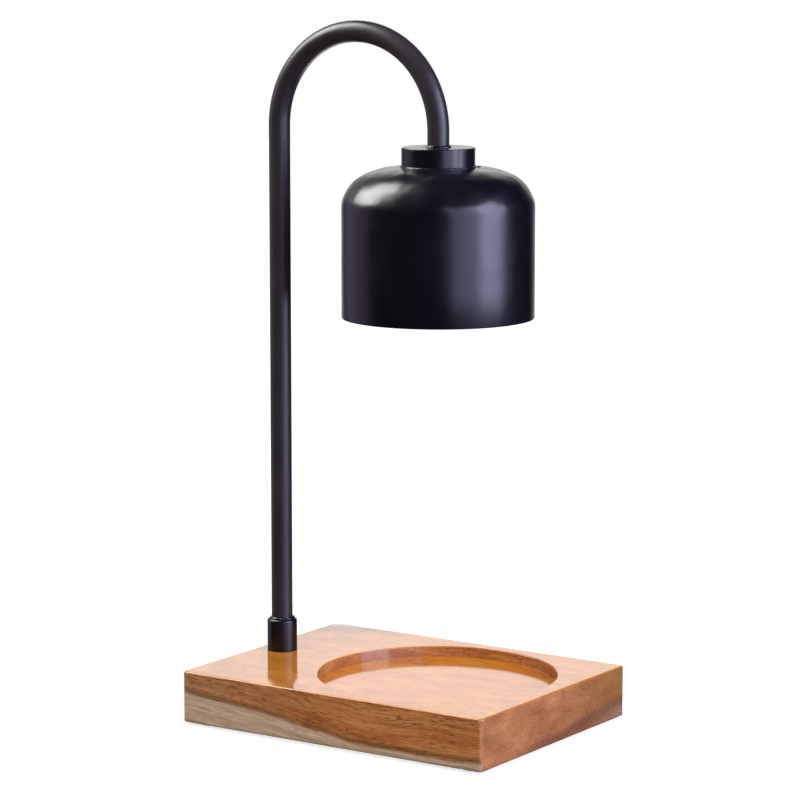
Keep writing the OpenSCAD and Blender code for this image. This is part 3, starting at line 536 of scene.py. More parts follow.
# %% Enamel, rubber, plastics and ceramic
for slot, name, patch_mm, dark, light, smooth, rough, skin_mm, skin_height in (
    ("black_steel", "black stoved enamel", 9, "#141519", "#1e1f24", 0.34, 0.46, 0.8, 0.01),
    ("rubber", "moulded black rubber", 1.8, "#151515", "#242322", 0.62, 0.8, 0.35, 0.01),
    ("nylon", "natural nylon", 3.0, "#ddd8c8", "#ebe7da", 0.38, 0.5, 1.2, 0.004),
    ("steatite", "unglazed white ceramic", 4.0, "#e2dccc", "#f2eee3", 0.55, 0.7, 0.25, 0.012),
    ("brown_sleeve", "brown silicone sleeve", 1.2, "#4b2a1a", "#5f3825", 0.5, 0.66, 0.4, 0.004),
    ("blue_sleeve", "blue silicone sleeve", 1.2, "#27467f", "#34589a", 0.5, 0.66, 0.4, 0.004),
):
    tree, inputs, in_mm = start_finish(slot, name, IOR=1.5)
    uneven(tree, inputs, grain(tree, in_mm, patch_mm, 3), dark, light, smooth, rough)
    emboss(tree, inputs, grain(tree, in_mm, skin_mm), skin_height * MM)

# %% [markdown]
# Clear glass has no colour to paint. What tells the eye that it is pressed or blown, and not cut
# from a perfect sheet, is the slow ripple in what is seen through it, and that is a bump.

# %% Glass
GLASS_RIPPLE = 0.03 * MM
for slot, name, ior, ripple_mm in (
    ("clear_glass", "pressed clear glass", 1.51, 6.0),
    ("quartz", "fused quartz", 1.46, 3.0),
):
    tree, inputs, in_mm = start_finish(slot, name, IOR=ior, Transmission_Weight=1.0)
    ripple = grain(tree, in_mm, ripple_mm, 1)
    uneven(tree, inputs, ripple, "#f4f8fa", "#ffffff", 0.01, 0.04)
    emboss(tree, inputs, ripple, GLASS_RIPPLE)
print("finishes:", sorted(finishes))

# %% [markdown]
# ## Finish the construction pieces
#
# The record names a material slot for every construction piece, so one loop gives all of them
# their finish. Screws, nuts, washers, brackets and the ceramic holder are exact already and stay.

# %% Give every construction piece its finish
for part in frame["record"]["subparts"]:
    piece = frame["nodes"][part["node"]]
    for slot in piece.material_slots:
        slot.material = finishes[part["material_slot"]]

# %% [markdown]
# ## Turning on the lathe
#
# Most of the lamp is round: shade, cap, collar, feet, bulb. The real ones are spun or turned,
# and the spin operator does the same. A chain of edges is drawn in the XZ plane, straight lines
# and arcs, and then swept once round the Z axis. Arcs are made by spinning the chain's last
# vertex about the arc's centre, so no point has to be worked out by hand.

# %% Helpers for turned pieces
ARC_TURN, ARC_CHORD = 12.0, 1.0 * MM  # the most that one step of an arc turns and measures
SAME_PLACE, NO_AREA, CLOSE = 0.002 * MM, 0.001 * MM, 0.01 * MM  # tolerances
SMOOTH_DEG = 35  # edges that turn more than this stay crisp


def only(kind, geom):
    """The vertices, or the edges, out of mixed geometry."""
    return [g for g in geom if isinstance(g, kind)]


def spin(bm, geom, centre, axis, angle, steps, rise=0.0, merge=False):
    """Sweeps geometry about an axis, with a rise at each step, and returns the last copy."""
    return bmesh.ops.spin(
        bm, geom=geom, cent=centre, axis=axis, dvec=(0, 0, rise), angle=angle, steps=steps,
        use_merge=merge, use_normal_flip=False, use_duplicate=False)["geom_last"]


def trace(bm, start, *moves):
    """Edges in the XZ plane: (r, z) is a line to there, (r, z, degrees) an arc about there."""
    tip = bm.verts.new((start[0], 0, start[1]))
    for move in moves:
        if len(move) == 2:
            tip = bmesh.ops.extrude_vert_indiv(bm, verts=[tip])["verts"][0]
            tip.co = (move[0], 0, move[1])
        else:
            r, z, degrees = move
            length = (tip.co - Vector((r, 0, z))).length * math.radians(abs(degrees))
            steps = math.ceil(max(abs(degrees) / ARC_TURN, length / ARC_CHORD))
            last = spin(bm, [tip], (r, 0, z), (0, -1, 0), math.radians(degrees), steps)
            tip = only(BMVert, last)[0]


def lathe(bm, segments):
    """Sweeps everything once round the Z axis and closes the seam and the poles."""
    spin(bm, bm.verts[:] + bm.edges[:], (0, 0, 0), (0, 0, 1), math.tau, segments, merge=True)
    tidy_up(bm)


def tidy_up(bm):
    """Merges doubles, drops faces without area and turns all faces outwards."""
    bmesh.ops.remove_doubles(bm, verts=bm.verts, dist=SAME_PLACE)
    bmesh.ops.dissolve_degenerate(bm, edges=bm.edges, dist=NO_AREA)
    bmesh.ops.recalc_face_normals(bm, faces=bm.faces)


def round_off(bm, edges, by, segments):
    """Bevels edges to a part of a circle."""
    bmesh.ops.bevel(bm, geom=edges, offset=by, affect="EDGES", segments=segments, profile=0.5,
                    material=-1)


def soften(mesh, crisp_from=SMOOTH_DEG):
    """Smooths the faces, except across edges that turn by more degrees than that."""
    for face in mesh.polygons:
        face.use_smooth = True
    mesh.set_sharp_from_angle(angle=math.radians(crisp_from))


def object_from(bm, name):
    """Turns a bmesh into an object of the scene."""
    mesh = bpy.data.meshes.new(name)
    bm.to_mesh(mesh)
    bm.free()
    ob = bpy.data.objects.new(name, mesh)
    scene.collection.objects.link(ob)
    return ob


def piece_from(bm, name, slot, body="lamp", replaces=(), axis_x=0.0, crisp_from=SMOOTH_DEG,
               finish=None):
    """Moves a bmesh to its upright axis and makes it a finished piece that rides on a body."""
    bmesh.ops.translate(bm, vec=(axis_x, 0, 0), verts=bm.verts)
    ob = object_from(bm, name)
    mesh = ob.data
    soften(mesh, crisp_from)
    mesh.materials.append(finish or finishes[slot])
    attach(ob, body)
    if replaces:
        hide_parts(*replaces)
    print(f"{name}: {len(mesh.vertices)} vertices, {len(mesh.polygons)} faces")
    return ob


# %% [markdown]
# ## The board
#
# The real board is sawn and planed, its edges are eased with sandpaper, and the recess and the
# pocket underneath are milled. The script works in the same order: a cube whose edges are
# bevelled, and then cutters that take wood away. The Boolean modifier with its exact solver does
# the milling, and it is applied at once, so that the piece keeps no live cutters. A weighted
# normal modifier keeps the wide flat faces flat up to their rounded edges.

# %% Cutters and the Boolean
def cutter(shape_up):
    """An object made by a function that draws into a bmesh."""
    bm = bmesh.new()
    shape_up(bm)
    tidy_up(bm)
    return object_from(bm, "cutter")


def mill(block, cutters):
    """Cuts each cutter out of the block and removes the cutters."""
    for tool in cutters:
        step = block.modifiers.new("mill", "BOOLEAN")
        step.operation, step.solver, step.object = "DIFFERENCE", "EXACT", tool
    bpy.context.view_layer.update()
    seen = block.evaluated_get(bpy.context.evaluated_depsgraph_get())
    milled = bpy.data.meshes.new_from_object(seen)
    block.modifiers.clear()
    block.data = milled
    for tool in cutters:
        bpy.data.objects.remove(tool)


def rounded_block(bm, low, high, corner_r, segments=6):
    """Draws a box between two corners, with rounded upright edges, into an empty bmesh."""
    made = bmesh.ops.create_cube(bm, size=1)
    size = high - low
    bmesh.ops.scale(bm, vec=size, verts=made["verts"])
    bmesh.ops.translate(bm, vec=(low + high) / 2, verts=made["verts"])
    upright = [e for e in bm.edges if abs(e.verts[0].co.z - e.verts[1].co.z) > size.z / 2]
    round_off(bm, upright, corner_r, segments)


def rod(bm, x, y, z_low, z_high, r, segments=64):
    """An upright cylinder."""
    made = bmesh.ops.create_cone(
        bm, cap_ends=True, segments=segments, radius1=r, radius2=r, depth=z_high - z_low)
    bmesh.ops.translate(bm, vec=(x, y, (z_low + z_high) / 2), verts=made["verts"])


# %% [markdown]
# Only the recess shows in the photograph. Underneath, a pocket under the arm takes the terminals,
# a rebate takes the plate that closes it, a round well takes the nut that clamps the arm, and
# four sockets take the feet. A hole through the left edge takes the grommet.

# %% Saw the board, ease its edges and mill it
CORNER_R, TOP_EASE, UNDER_EASE = 2.5 * MM, 1 * MM, 0.6 * MM
RECESS_R, RECESS_DEPTH, RECESS_EASE = 55.5 * MM, 5 * MM, 0.6 * MM
REBATE_GAP, PLATE_R = 0.3 * MM, 4 * MM
POCKET_X, POCKET_L, POCKET_W, POCKET_DEPTH = -76.5 * MM, 42 * MM, 56 * MM, 13 * MM
WELL_R, WELL_TOP = 9 * MM, BOARD_TOP - 6 * MM
TUBE_HOLE_R = TUBE_R + 0.2 * MM
GROMMET_HOLE_R, GROMMET_HOLE_L = 4.55 * MM, 9 * MM
FOOT_R, SOCKET_R, SOCKET_DEPTH = 6 * MM, 6.05 * MM, 1.5 * MM
PAST = 2 * MM  # how far a cutter runs out of the wood
QUARTER_TURN = math.radians(90)

low, high = corners("base_board")
bm = bmesh.new()
rounded_block(bm, low, high, CORNER_R, segments=8)
for z, ease in ((high.z, TOP_EASE), (low.z, UNDER_EASE)):
    rim = [e for e in bm.edges if all(abs(v.co.z - z) < CLOSE for v in e.verts)]
    round_off(bm, rim, ease, segments=4)
tidy_up(bm)


def recess_cutter(bm):
    """The recess with its eased mouth, as a turned plug."""
    floor_z = BOARD_TOP - RECESS_DEPTH
    trace(bm, (0, floor_z), (RECESS_R, floor_z), (RECESS_R, BOARD_TOP - RECESS_EASE),
          (RECESS_R + RECESS_EASE, BOARD_TOP - RECESS_EASE, -90),
          (RECESS_R + RECESS_EASE, BOARD_TOP + PAST), (0, BOARD_TOP + PAST))
    lathe(bm, 128)
    bmesh.ops.translate(bm, vec=(HEAD_X, 0, 0), verts=bm.verts)


plate_low, plate_high = corners("bottom_plate")
pocket_low = Vector((POCKET_X, -POCKET_W / 2, low.z - PAST))
pocket_high = Vector((POCKET_X + POCKET_L, POCKET_W / 2, low.z + POCKET_DEPTH))
rebate_low = plate_low - Vector((REBATE_GAP, REBATE_GAP, PAST))
rebate_high = plate_high + Vector((REBATE_GAP, REBATE_GAP, 0))
foot_x, foot_y = (reach - FOOT_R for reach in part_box("rubber_feet")[1][:2])
grommet = middle("cord_grommet")


def lay_in_edge(bm):
    """Lays an upright thing down, so that it goes into the board's left edge along X."""
    bmesh.ops.rotate(bm, matrix=Matrix.Rotation(QUARTER_TURN, 3, "Y"), verts=bm.verts)
    bmesh.ops.translate(bm, vec=(low.x, grommet.y, grommet.z), verts=bm.verts)


def grommet_cutter(bm):
    """The hole for the grommet, through the left edge."""
    rod(bm, 0, 0, -PAST, GROMMET_HOLE_L, GROMMET_HOLE_R)
    lay_in_edge(bm)


board = piece_from(bm, "board", "acacia", replaces=["base_board"])
mill(board, [
    cutter(recess_cutter),
    cutter(lambda bm: rounded_block(bm, rebate_low, rebate_high, PLATE_R)),
    cutter(lambda bm: rounded_block(bm, pocket_low, pocket_high, PLATE_R)),
    cutter(lambda bm: rod(bm, ARM_X, 0, low.z, WELL_TOP, WELL_R)),
    cutter(lambda bm: rod(bm, ARM_X, 0, low.z, BOARD_TOP + PAST, TUBE_HOLE_R)),
    cutter(grommet_cutter),
    *[cutter(lambda bm, x=sx * foot_x, y=sy * foot_y: rod(
        bm, x, y, low.z - PAST, low.z + SOCKET_DEPTH, SOCKET_R))
      for sx in (-1, 1) for sy in (-1, 1)],
])
soften(board.data)
board.modifiers.new("flat faces stay flat", "WEIGHTED_NORMAL").keep_sharp = True
print("board:", len(board.data.polygons), "faces")

# %% [markdown]
# ## The arm
#
# The arm is one steel tube. A ring of vertices is extruded up, spun through half a turn about
# the bend's centre and extruded down into the shade, which is what the bending machine does. Its
# bore is the same path with a smaller ring, and the ends are bridged.

# %% Bend the arm
TUBE_WALL = 1 * MM
TUBE_SIDES = 48
BEND_STEPS = 72
BUSH_REACH = 5 * MM  # how far the head's bush goes up into the tube
FOOT_Z, HEAD_Z = bottom("arm_tube"), top("head_bush") - BUSH_REACH


def edges_among(verts):
    """The edges that join these vertices to each other, each once and always in one order."""
    return list(dict.fromkeys(
        e for v in verts for e in v.link_edges if all(end in verts for end in e.verts)))


def draw_out(bm, edges, rise):
    """Extrudes a ring of edges straight up or down, and returns the new ring."""
    verts = only(BMVert, bmesh.ops.extrude_edge_only(bm, edges=edges)["geom"])
    bmesh.ops.translate(bm, vec=(0, 0, rise), verts=verts)
    return verts, edges_among(verts)


def bent_ring(bm, r):
    """Sweeps a ring of radius r along the arm and returns its first and last edges."""
    ring = bmesh.ops.create_circle(bm, cap_ends=False, segments=TUBE_SIDES, radius=r)["verts"]
    bmesh.ops.translate(bm, vec=(ARM_X, 0, FOOT_Z), verts=ring)
    first = edges_among(ring)
    verts, edges = draw_out(bm, first, BEND_Z - FOOT_Z)
    bend = spin(bm, verts + edges, (ARM_X + BEND_R, 0, BEND_Z), (0, 1, 0), math.pi, BEND_STEPS)
    _, last = draw_out(bm, only(BMEdge, bend), HEAD_Z - BEND_Z)
    return first, last


bm = bmesh.new()
outside = bent_ring(bm, TUBE_R)
inside = bent_ring(bm, TUBE_R - TUBE_WALL)
for outer, inner in zip(outside, inside):
    bmesh.ops.bridge_loops(bm, edges=outer + inner)
tidy_up(bm)
piece_from(bm, "arm", "black_powder_coat", replaces=["arm_tube"], finish=lightened_tube_coat)

# %% [markdown]
# ## The collar
#
# A turned sleeve hides where the tube enters the board. Its shoulder is rounded, and a small
# hollow fillet of weld leads from the shoulder to the tube.

# %% Turn the collar
COLLAR_R, COLLAR_ROUND, COLLAR_EASE, WELD_LEG = 7.1 * MM, 1.2 * MM, 0.3 * MM, 1 * MM
collar_top = top("foot_collar") - WELD_LEG
bore_r = TUBE_R + 0.05 * MM
bm = bmesh.new()
trace(bm, (bore_r, BOARD_TOP), (COLLAR_R - COLLAR_EASE, BOARD_TOP),
      (COLLAR_R - COLLAR_EASE, BOARD_TOP + COLLAR_EASE, 90),
      (COLLAR_R, collar_top - COLLAR_ROUND),
      (COLLAR_R - COLLAR_ROUND, collar_top - COLLAR_ROUND, 90),
      (bore_r + WELD_LEG, collar_top), (bore_r + WELD_LEG, collar_top + WELD_LEG, -90),
      (bore_r, collar_top + WELD_LEG), (bore_r, BOARD_TOP))
lathe(bm, 96)
piece_from(bm, "collar", "black_powder_coat", replaces=["foot_collar"], axis_x=ARM_X)

# %% [markdown]
# ## The shade
#
# The shade is spun from sheet steel: a straight wall, a round shoulder and a shallow crown. Its
# skin is drawn as one line from the rim to the hole in the crown, turned, and then given the
# sheet's thickness by the solidify operator. Spinning leaves the dome slightly uneven, and
# under satin paint that shows as a mottled highlight. So the dome's vertices are pushed out and
# in by a fraction of a millimetre, in patches less than a finger wide. The roller also leaves a
# low ridge where the wall turns into the shoulder, which breaks the tall highlight in two.

# %% Spin the shade
SHADE_R, WALL_H, SHEET = 44 * MM, 48.8 * MM, 1.2 * MM
SHOULDER_R, SHOULDER_DEG = 18.2 * MM, 68.0
CROWN_FLAT_R = 17.3 * MM
LIP_ROUND = 0.4 * MM
DENT_SIZE, DENT_DEPTH, DENT_FADE = 8.5 * MM, 0.24 * MM, 5 * MM
FINER, FINER_SHARE = 2.3, 0.4  # the smaller dents among the large ones
FINE_ROWS = 5  # rows a millimetre apart, where the ridge begins
RIDGE_UP, RIDGE_WIDTH, RIDGE_HEIGHT = 4.3 * MM, 2.6 * MM, 0.27 * MM

turn = math.radians(SHOULDER_DEG)
crown_r = (SHADE_R - SHOULDER_R * (1 - math.cos(turn)) - CROWN_FLAT_R) / math.cos(turn)
wall_top = RIM_Z + WALL_H
bm = bmesh.new()
rows = [(SHADE_R, wall_top - i * MM) for i in range(FINE_ROWS, -1, -1)]
trace(bm, (SHADE_R, RIM_Z), (SHADE_R, RIM_Z + WALL_H / 3), (SHADE_R, RIM_Z + WALL_H * 2 / 3),
      *rows, (SHADE_R - SHOULDER_R, wall_top, SHOULDER_DEG),
      (CROWN_FLAT_R, CROWN_Z - crown_r, 90 - SHOULDER_DEG), (TUBE_HOLE_R, CROWN_Z))
lathe(bm, 192)
bm.normal_update()
for v in bm.verts:
    above_wall = min(max((v.co.z - wall_top) / DENT_FADE, 0), 1)
    dent = noise.noise(v.co / DENT_SIZE) + FINER_SHARE * noise.noise(v.co / DENT_SIZE * FINER)
    v.co += v.normal * dent * DENT_DEPTH * above_wall
    off_ridge = (v.co.z - wall_top - RIDGE_UP) / RIDGE_WIDTH
    v.co += v.normal * RIDGE_HEIGHT * math.exp(-off_ridge * off_ridge)
bmesh.ops.solidify(bm, geom=bm.faces[:], thickness=SHEET)
lip = [e for e in bm.edges if all(abs(v.co.z - RIM_Z) < CLOSE for v in e.verts)
       and abs(e.verts[0].co.xy.length - e.verts[1].co.xy.length) < CLOSE]
round_off(bm, lip, LIP_ROUND, segments=3)
piece_from(bm, "shade_shell", "black_powder_coat", replaces=["shade"], axis_x=HEAD_X)

# %% [markdown]
# ## The cap
#
# A short round box closes the gap between the arm and the shade. It was bent from a strip, and
# the strip's butt joint still shows through the paint as a fine upright line on its right. The
# wall is traced with several rows, so that the joint can wander a little on its way down.

# %% Turn the cap and press in its joint
CAP_R, CAP_T, CAP_EDGE = 16.8 * MM, 1.5 * MM, 0.45 * MM
JOINT_AZIMUTH, JOINT_WIDTH, JOINT_DEPTH = 66.0, 0.42 * MM, 0.18 * MM
WANDER_BY, WANDER_EVERY = 0.6 * MM, 2 * MM
WALL_ROWS = 9
cap_top = top("neck_cap") - WELD_LEG
row_h = (cap_top - CAP_EDGE - CROWN_Z) / WALL_ROWS
rows = [(CAP_R, CROWN_Z + row_h * i) for i in range(WALL_ROWS + 1)]
bm = bmesh.new()
trace(bm, (CAP_R - CAP_T, CROWN_Z), *rows, (CAP_R - CAP_EDGE, cap_top - CAP_EDGE, 90),
      (bore_r, cap_top), (bore_r, cap_top - CAP_T), (CAP_R - CAP_T, cap_top - CAP_T),
      (CAP_R - CAP_T, CROWN_Z))
lathe(bm, 360)
for v in bm.verts:
    if v.co.xy.length > CAP_R - CLOSE:
        wander = WANDER_BY * noise.noise((0, 0, v.co.z / WANDER_EVERY))
        line = toward(JOINT_AZIMUTH, 0) * CAP_R
        off = ((v.co - line).dot(toward(JOINT_AZIMUTH + 90, 0)) - wander) / JOINT_WIDTH
        if v.co.dot(line) > 0:
            v.co -= toward(JOINT_AZIMUTH, 0) * JOINT_DEPTH * math.exp(-off * off)
piece_from(bm, "cap", "black_powder_coat", replaces=["neck_cap"], axis_x=HEAD_X)

# %% [markdown]
# ## Welds and spatter
#
# The tube is welded to its collar and to the cap, and the cap to the crown. Paint rounds the beads
# off but doesn't hide them: they stay a little lumpy, and beside them sit a few nibs of spatter
# under the paint. A bead is a small circle spun into a ring, whose vertices are then pushed out
# by noise. These things are small, yet they catch the light and show that the lamp was made by
# hand.

# %% Lay the beads
BEAD_SIDES, BEAD_STEPS = 12, 180
LUMP_SHARE = 0.42  # how much a lump thickens the bead
SMALL_LUMP, SMALL_SHARE = 0.4, 0.5  # the smaller lumps on the large ones


def weld_bead(bm, x, z, ring_r, bead_r, lump_mm):
    """A lumpy ring of weld around an upright axis."""
    bmesh.ops.create_circle(bm, cap_ends=False, segments=BEAD_SIDES, radius=bead_r)
    bmesh.ops.rotate(bm, matrix=Matrix.Rotation(QUARTER_TURN, 3, "X"), verts=bm.verts)
    bmesh.ops.translate(bm, vec=(ring_r, 0, 0), verts=bm.verts)
    lathe(bm, BEAD_STEPS)
    for v in bm.verts:
        core = Vector((v.co.x, v.co.y, 0)).normalized() * ring_r
        lump = noise.noise(v.co / (lump_mm * MM))
        lump += SMALL_SHARE * noise.noise(v.co / (SMALL_LUMP * lump_mm * MM))
        v.co = core + (v.co - core) * (1 + LUMP_SHARE * lump)
    bmesh.ops.translate(bm, vec=(x, 0, z), verts=bm.verts)


for name, x, z, ring_r, bead_r, lump_mm in (
    ("collar_weld", ARM_X, collar_top, TUBE_R + 0.1 * MM, 0.95 * MM, 2.2),
    ("cap_weld", HEAD_X, cap_top, TUBE_R + 0.1 * MM, 0.85 * MM, 1.8),
    ("crown_weld", HEAD_X, CROWN_Z, CAP_R, 0.62 * MM, 2.0),
):
    bm = bmesh.new()
    weld_bead(bm, x, z, ring_r, bead_r, lump_mm)
    piece_from(bm, name, "black_powder_coat")

# %% [markdown]
# A nib of spatter is a drop that froze where it fell, so it is a small ball, flattened a little
# and half sunk in the sheet. Each has its place from the photograph: azimuth, radius, height.

# %% Drop the spatter
NIB_FLATNESS = 0.6
bm = bmesh.new()
for azimuth, radius, z, size in (
    (-50, 7.2 * MM, cap_top, 0.42 * MM),
    (2, 6.9 * MM, cap_top, 0.4 * MM),
    (25, 7.6 * MM, cap_top, 0.28 * MM),
    (41, 18.3 * MM, CROWN_Z, 0.4 * MM),
    (-14, 20.5 * MM, CROWN_Z - 0.2 * MM, 0.45 * MM),
    (118, 18.4 * MM, CROWN_Z, 0.95 * MM),
):
    nib = bmesh.ops.create_icosphere(bm, subdivisions=3, radius=size)["verts"]
    bmesh.ops.scale(bm, vec=(1, 1, NIB_FLATNESS), verts=nib)
    bmesh.ops.translate(bm, vec=toward(azimuth, 0) * radius + Vector((HEAD_X, 0, z)), verts=nib)
piece_from(bm, "spatter", "black_powder_coat")

# %% [markdown]
# ## Feet and grommet
#
# The feet are moulded rubber buttons with a rounded lower edge, glued into shallow sockets. The
# grommet is a rubber ring with two flanges that lines the hole for the supply cord. Both are
# turned from a traced outline.

# %% Turn the feet and the grommet
FOOT_H, FOOT_ROUND = 3 * MM, 0.8 * MM
DISH_R, DISH_SLOPE, DISH_DEPTH = 3.4 * MM, 0.5 * MM, 0.15 * MM
bm = bmesh.new()
trace(bm, (0, DISH_DEPTH), (DISH_R, DISH_DEPTH), (DISH_R + DISH_SLOPE, 0), (FOOT_R - FOOT_ROUND, 0),
      (FOOT_R - FOOT_ROUND, FOOT_ROUND, 90), (FOOT_R, FOOT_H), (0, FOOT_H))
lathe(bm, 48)
one_foot = bm.verts[:] + bm.edges[:] + bm.faces[:]
for sx, sy in ((1, 1), (1, -1), (-1, 1), (-1, -1)):
    copy = bmesh.ops.duplicate(bm, geom=one_foot)["geom"]
    bmesh.ops.translate(bm, vec=(sx * foot_x, sy * foot_y, 0), verts=only(BMVert, copy))
bmesh.ops.delete(bm, geom=only(BMVert, one_foot), context="VERTS")
piece_from(bm, "feet", "rubber", replaces=["rubber_feet"])

BORE_R, BODY_R, GROMMET_L = 3.2 * MM, 4.5 * MM, 7.5 * MM
FLANGE_R, FLANGE_T, SOFT = 5.5 * MM, 1.5 * MM, 0.5 * MM
bm = bmesh.new()
trace(bm, (BORE_R, SOFT), (BORE_R + SOFT, SOFT, 90), (FLANGE_R - SOFT, 0),
      (FLANGE_R - SOFT, SOFT, 90), (FLANGE_R, FLANGE_T), (BODY_R, FLANGE_T),
      (BODY_R, GROMMET_L - FLANGE_T),
      (FLANGE_R, GROMMET_L - FLANGE_T), (FLANGE_R, GROMMET_L - SOFT),
      (FLANGE_R - SOFT, GROMMET_L - SOFT, 90), (BORE_R, GROMMET_L), (BORE_R, SOFT))
lathe(bm, 64)
lay_in_edge(bm)
piece_from(bm, "grommet", "rubber", replaces=["cord_grommet"])

# %% [markdown]
# ## The bulb
#
# A reflector bulb with two pins: a pressed glass bowl, silvered inside and pressed into small
# pillows that even out the beam, a front glass, and a quartz capsule with its coiled filament.
# The bowl is a parabola, so its outline is computed row by row. The pillows are made by moving
# the inner vertices, and their edges stay crisp because the moves meet there at an angle.

# %% Press the reflector
BULB_R, NECK_R, BOWL_H, GLASS = 25 * MM, 10 * MM, 29 * MM, 1.4 * MM
CAPSULE_HOLE_R = 4.4 * MM
PILLOWS_ROUND, PILLOWS_UP, PER_PILLOW = 24, 6, 6
PILLOW_DEPTH, PILLOW_DEG = 0.32 * MM, 18
bowl_z, neck_z = bottom("bulb_reflector"), top("bulb_reflector")


def bowl_radius(share):
    """Radius of the bowl at a share of its height: a parabola that opens downwards."""
    return BULB_R * math.sqrt(1 - (1 - (NECK_R / BULB_R) ** 2) * share)


steps = PILLOWS_UP * 4
outer = [(bowl_radius(1 - i / steps), bowl_z + BOWL_H * (1 - i / steps)) for i in range(steps + 1)]
inner = [(bowl_radius(i / steps) - GLASS, bowl_z + BOWL_H * i / steps) for i in range(steps + 1)]
bm = bmesh.new()
trace(bm, (CAPSULE_HOLE_R, neck_z), (NECK_R, neck_z), *outer, *inner,
      (CAPSULE_HOLE_R, bowl_z + BOWL_H), (CAPSULE_HOLE_R, neck_z))
lathe(bm, PILLOWS_ROUND * PER_PILLOW)
for v in bm.verts:
    share = (v.co.z - bowl_z) / BOWL_H
    if 0 < share < 1 and v.co.xy.length < bowl_radius(share) - GLASS / 2:
        across = abs(math.sin(math.atan2(v.co.y, v.co.x) * PILLOWS_ROUND / 2))
        along = abs(math.sin(math.pi * share * PILLOWS_UP))
        v.co.xy = v.co.xy.normalized() * (v.co.xy.length - PILLOW_DEPTH * math.sqrt(across * along))
piece_from(bm, "reflector", "reflector_glass", body="bulb", replaces=["bulb_reflector"],
           axis_x=HEAD_X, crisp_from=PILLOW_DEG)

# %% [markdown]
# A flat disc of pressed glass closes the bowl and keeps fingers off the hot capsule. Its front
# edge is rounded.

# %% Cut the front glass
LENS_ROUND = 0.8 * MM
lens_z, lens_top = bottom("bulb_lens"), top("bulb_lens")
bm = bmesh.new()
trace(bm, (0, lens_z), (BULB_R - LENS_ROUND, lens_z),
      (BULB_R - LENS_ROUND, lens_z + LENS_ROUND, 90), (BULB_R, lens_top), (0, lens_top))
lathe(bm, 128)
piece_from(bm, "front_glass", "clear_glass", body="bulb", replaces=["bulb_lens"], axis_x=HEAD_X)

# %% [markdown]
# The capsule is a quartz tube. Its end is melted shut and keeps a small nib there, where it was
# filled with gas, and its foot is pinched flat round the leads. Outside and hollow are turned as
# two shells, the hollow's faces are reversed so that they point into the gas, and one transform
# pinches both.

# %% Blow the capsule
CAPSULE_R, CAPSULE_WALL, NIB_R, NIB_H = 4.2 * MM, 0.9 * MM, 0.7 * MM, 0.6 * MM
PINCH_H, PINCH_RISE, PINCH_SHARE = 5.5 * MM, 1.5 * MM, 0.55
PINCH_ROW = 0.5 * MM  # fine rows, so that the pinch narrows smoothly
capsule_z, capsule_top = bottom("bulb_capsule"), top("bulb_capsule")
dome_z = capsule_z + CAPSULE_R + NIB_H
pinch_z = capsule_top - PINCH_H
nib_deg = math.degrees(math.asin(NIB_R / CAPSULE_R))
nib_z = dome_z - math.sqrt(CAPSULE_R ** 2 - NIB_R ** 2)
bm = bmesh.new()
trace(bm, (0, capsule_z), (NIB_R * 0.6, capsule_z + 0.1 * MM), (NIB_R, nib_z),
      (0, dome_z, 90 - nib_deg), *[(CAPSULE_R, pinch_z + PINCH_ROW * i) for i in range(-2, 5)],
      (CAPSULE_R, capsule_top), (0, capsule_top))
lathe(bm, 64)
hollow = bmesh.new()
inside_r = CAPSULE_R - CAPSULE_WALL
trace(hollow, (0, dome_z - inside_r), (0, dome_z, 90), (inside_r, pinch_z - PINCH_RISE),
      (inside_r - PINCH_RISE, pinch_z - PINCH_RISE, 90), (0, pinch_z))
lathe(hollow, 64)
bmesh.ops.reverse_faces(hollow, faces=hollow.faces)
inner_mesh = bpy.data.meshes.new("hollow")
hollow.to_mesh(inner_mesh)
hollow.free()
bm.from_mesh(inner_mesh)
bpy.data.meshes.remove(inner_mesh)
for v in bm.verts:
    pinched = min(max((v.co.z - pinch_z) / PINCH_RISE, 0), 1)
    v.co.x *= 1 - PINCH_SHARE * pinched * pinched * (3 - 2 * pinched)
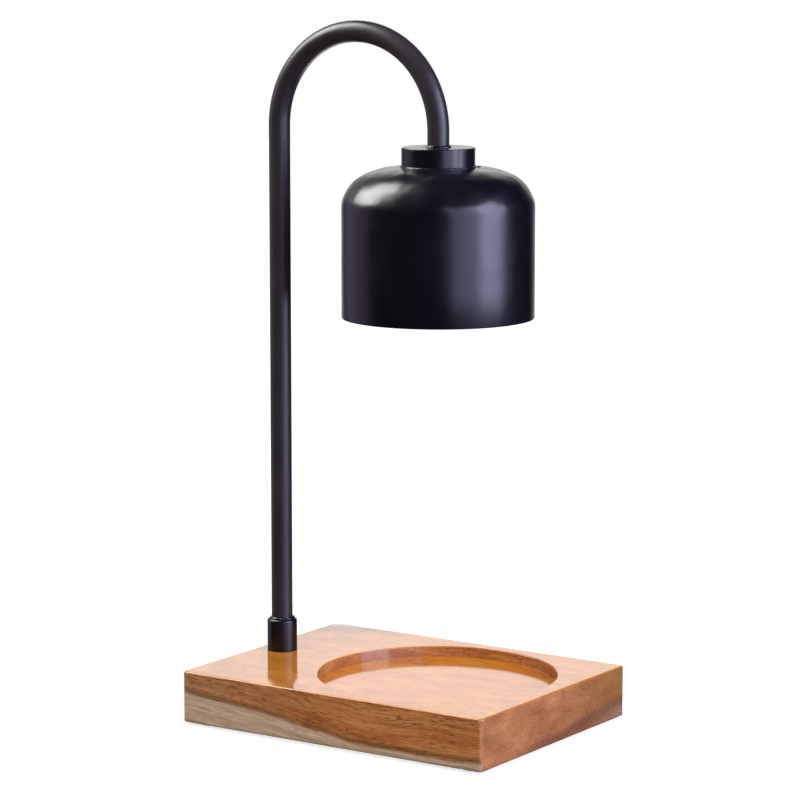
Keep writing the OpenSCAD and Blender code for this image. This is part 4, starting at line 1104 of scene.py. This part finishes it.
piece_from(bm, "capsule", "quartz", body="bulb", replaces=["bulb_capsule"], axis_x=HEAD_X)

# %% [markdown]
# The filament is a coil of tungsten wire. A small disc is spun eleven times round the axis and
# rises a little at each step. Two straight legs hold the coil. The wire is drawn thicker than the
# real one, which is too fine to show.

# %% Wind the filament
COIL_R, WIRE_R, LEG_R = 0.58 * MM, 0.12 * MM, 0.156 * MM
COIL_TURNS, COIL_L, STEPS_A_TURN = 11, 5 * MM, 20
LEG_Y = 2 * MM
coil_z, legs_top = bottom("bulb_filament"), top("bulb_filament")
bm = bmesh.new()
wire = bmesh.ops.create_circle(bm, cap_ends=True, segments=8, radius=WIRE_R)["verts"]
bmesh.ops.rotate(bm, matrix=Matrix.Rotation(QUARTER_TURN, 3, "X"), verts=wire)
bmesh.ops.translate(bm, vec=(COIL_R, 0, coil_z + WIRE_R), verts=wire)
steps = COIL_TURNS * STEPS_A_TURN
rise = (COIL_L - 2 * WIRE_R) / steps
spin(bm, bm.verts[:] + bm.edges[:] + bm.faces[:], (0, 0, 0), (0, 0, 1), math.tau * COIL_TURNS,
     steps, rise=rise)
rod(bm, COIL_R, 0, coil_z + COIL_L - WIRE_R, legs_top, LEG_R, segments=12)
rod(bm, 0, LEG_Y, coil_z, legs_top, LEG_R, segments=12)
foot_wire = bmesh.ops.create_cone(
    bm, cap_ends=True, segments=12, radius1=WIRE_R, radius2=WIRE_R, depth=LEG_Y)["verts"]
bmesh.ops.rotate(bm, matrix=Matrix.Rotation(QUARTER_TURN, 3, "X"), verts=foot_wire)
bmesh.ops.translate(bm, vec=(0, LEG_Y / 2, coil_z + WIRE_R), verts=foot_wire)
bmesh.ops.recalc_face_normals(bm, faces=bm.faces)
piece_from(bm, "filament", "tungsten", body="bulb", replaces=["bulb_filament"], axis_x=HEAD_X)

# %% [markdown]
# ## The end
#
# The last cell brings the scene up to date. Finer pieces may round an edge, but they don't make
# the lamp any bigger.

# %% Bring the scene up to date
bpy.context.view_layer.update()
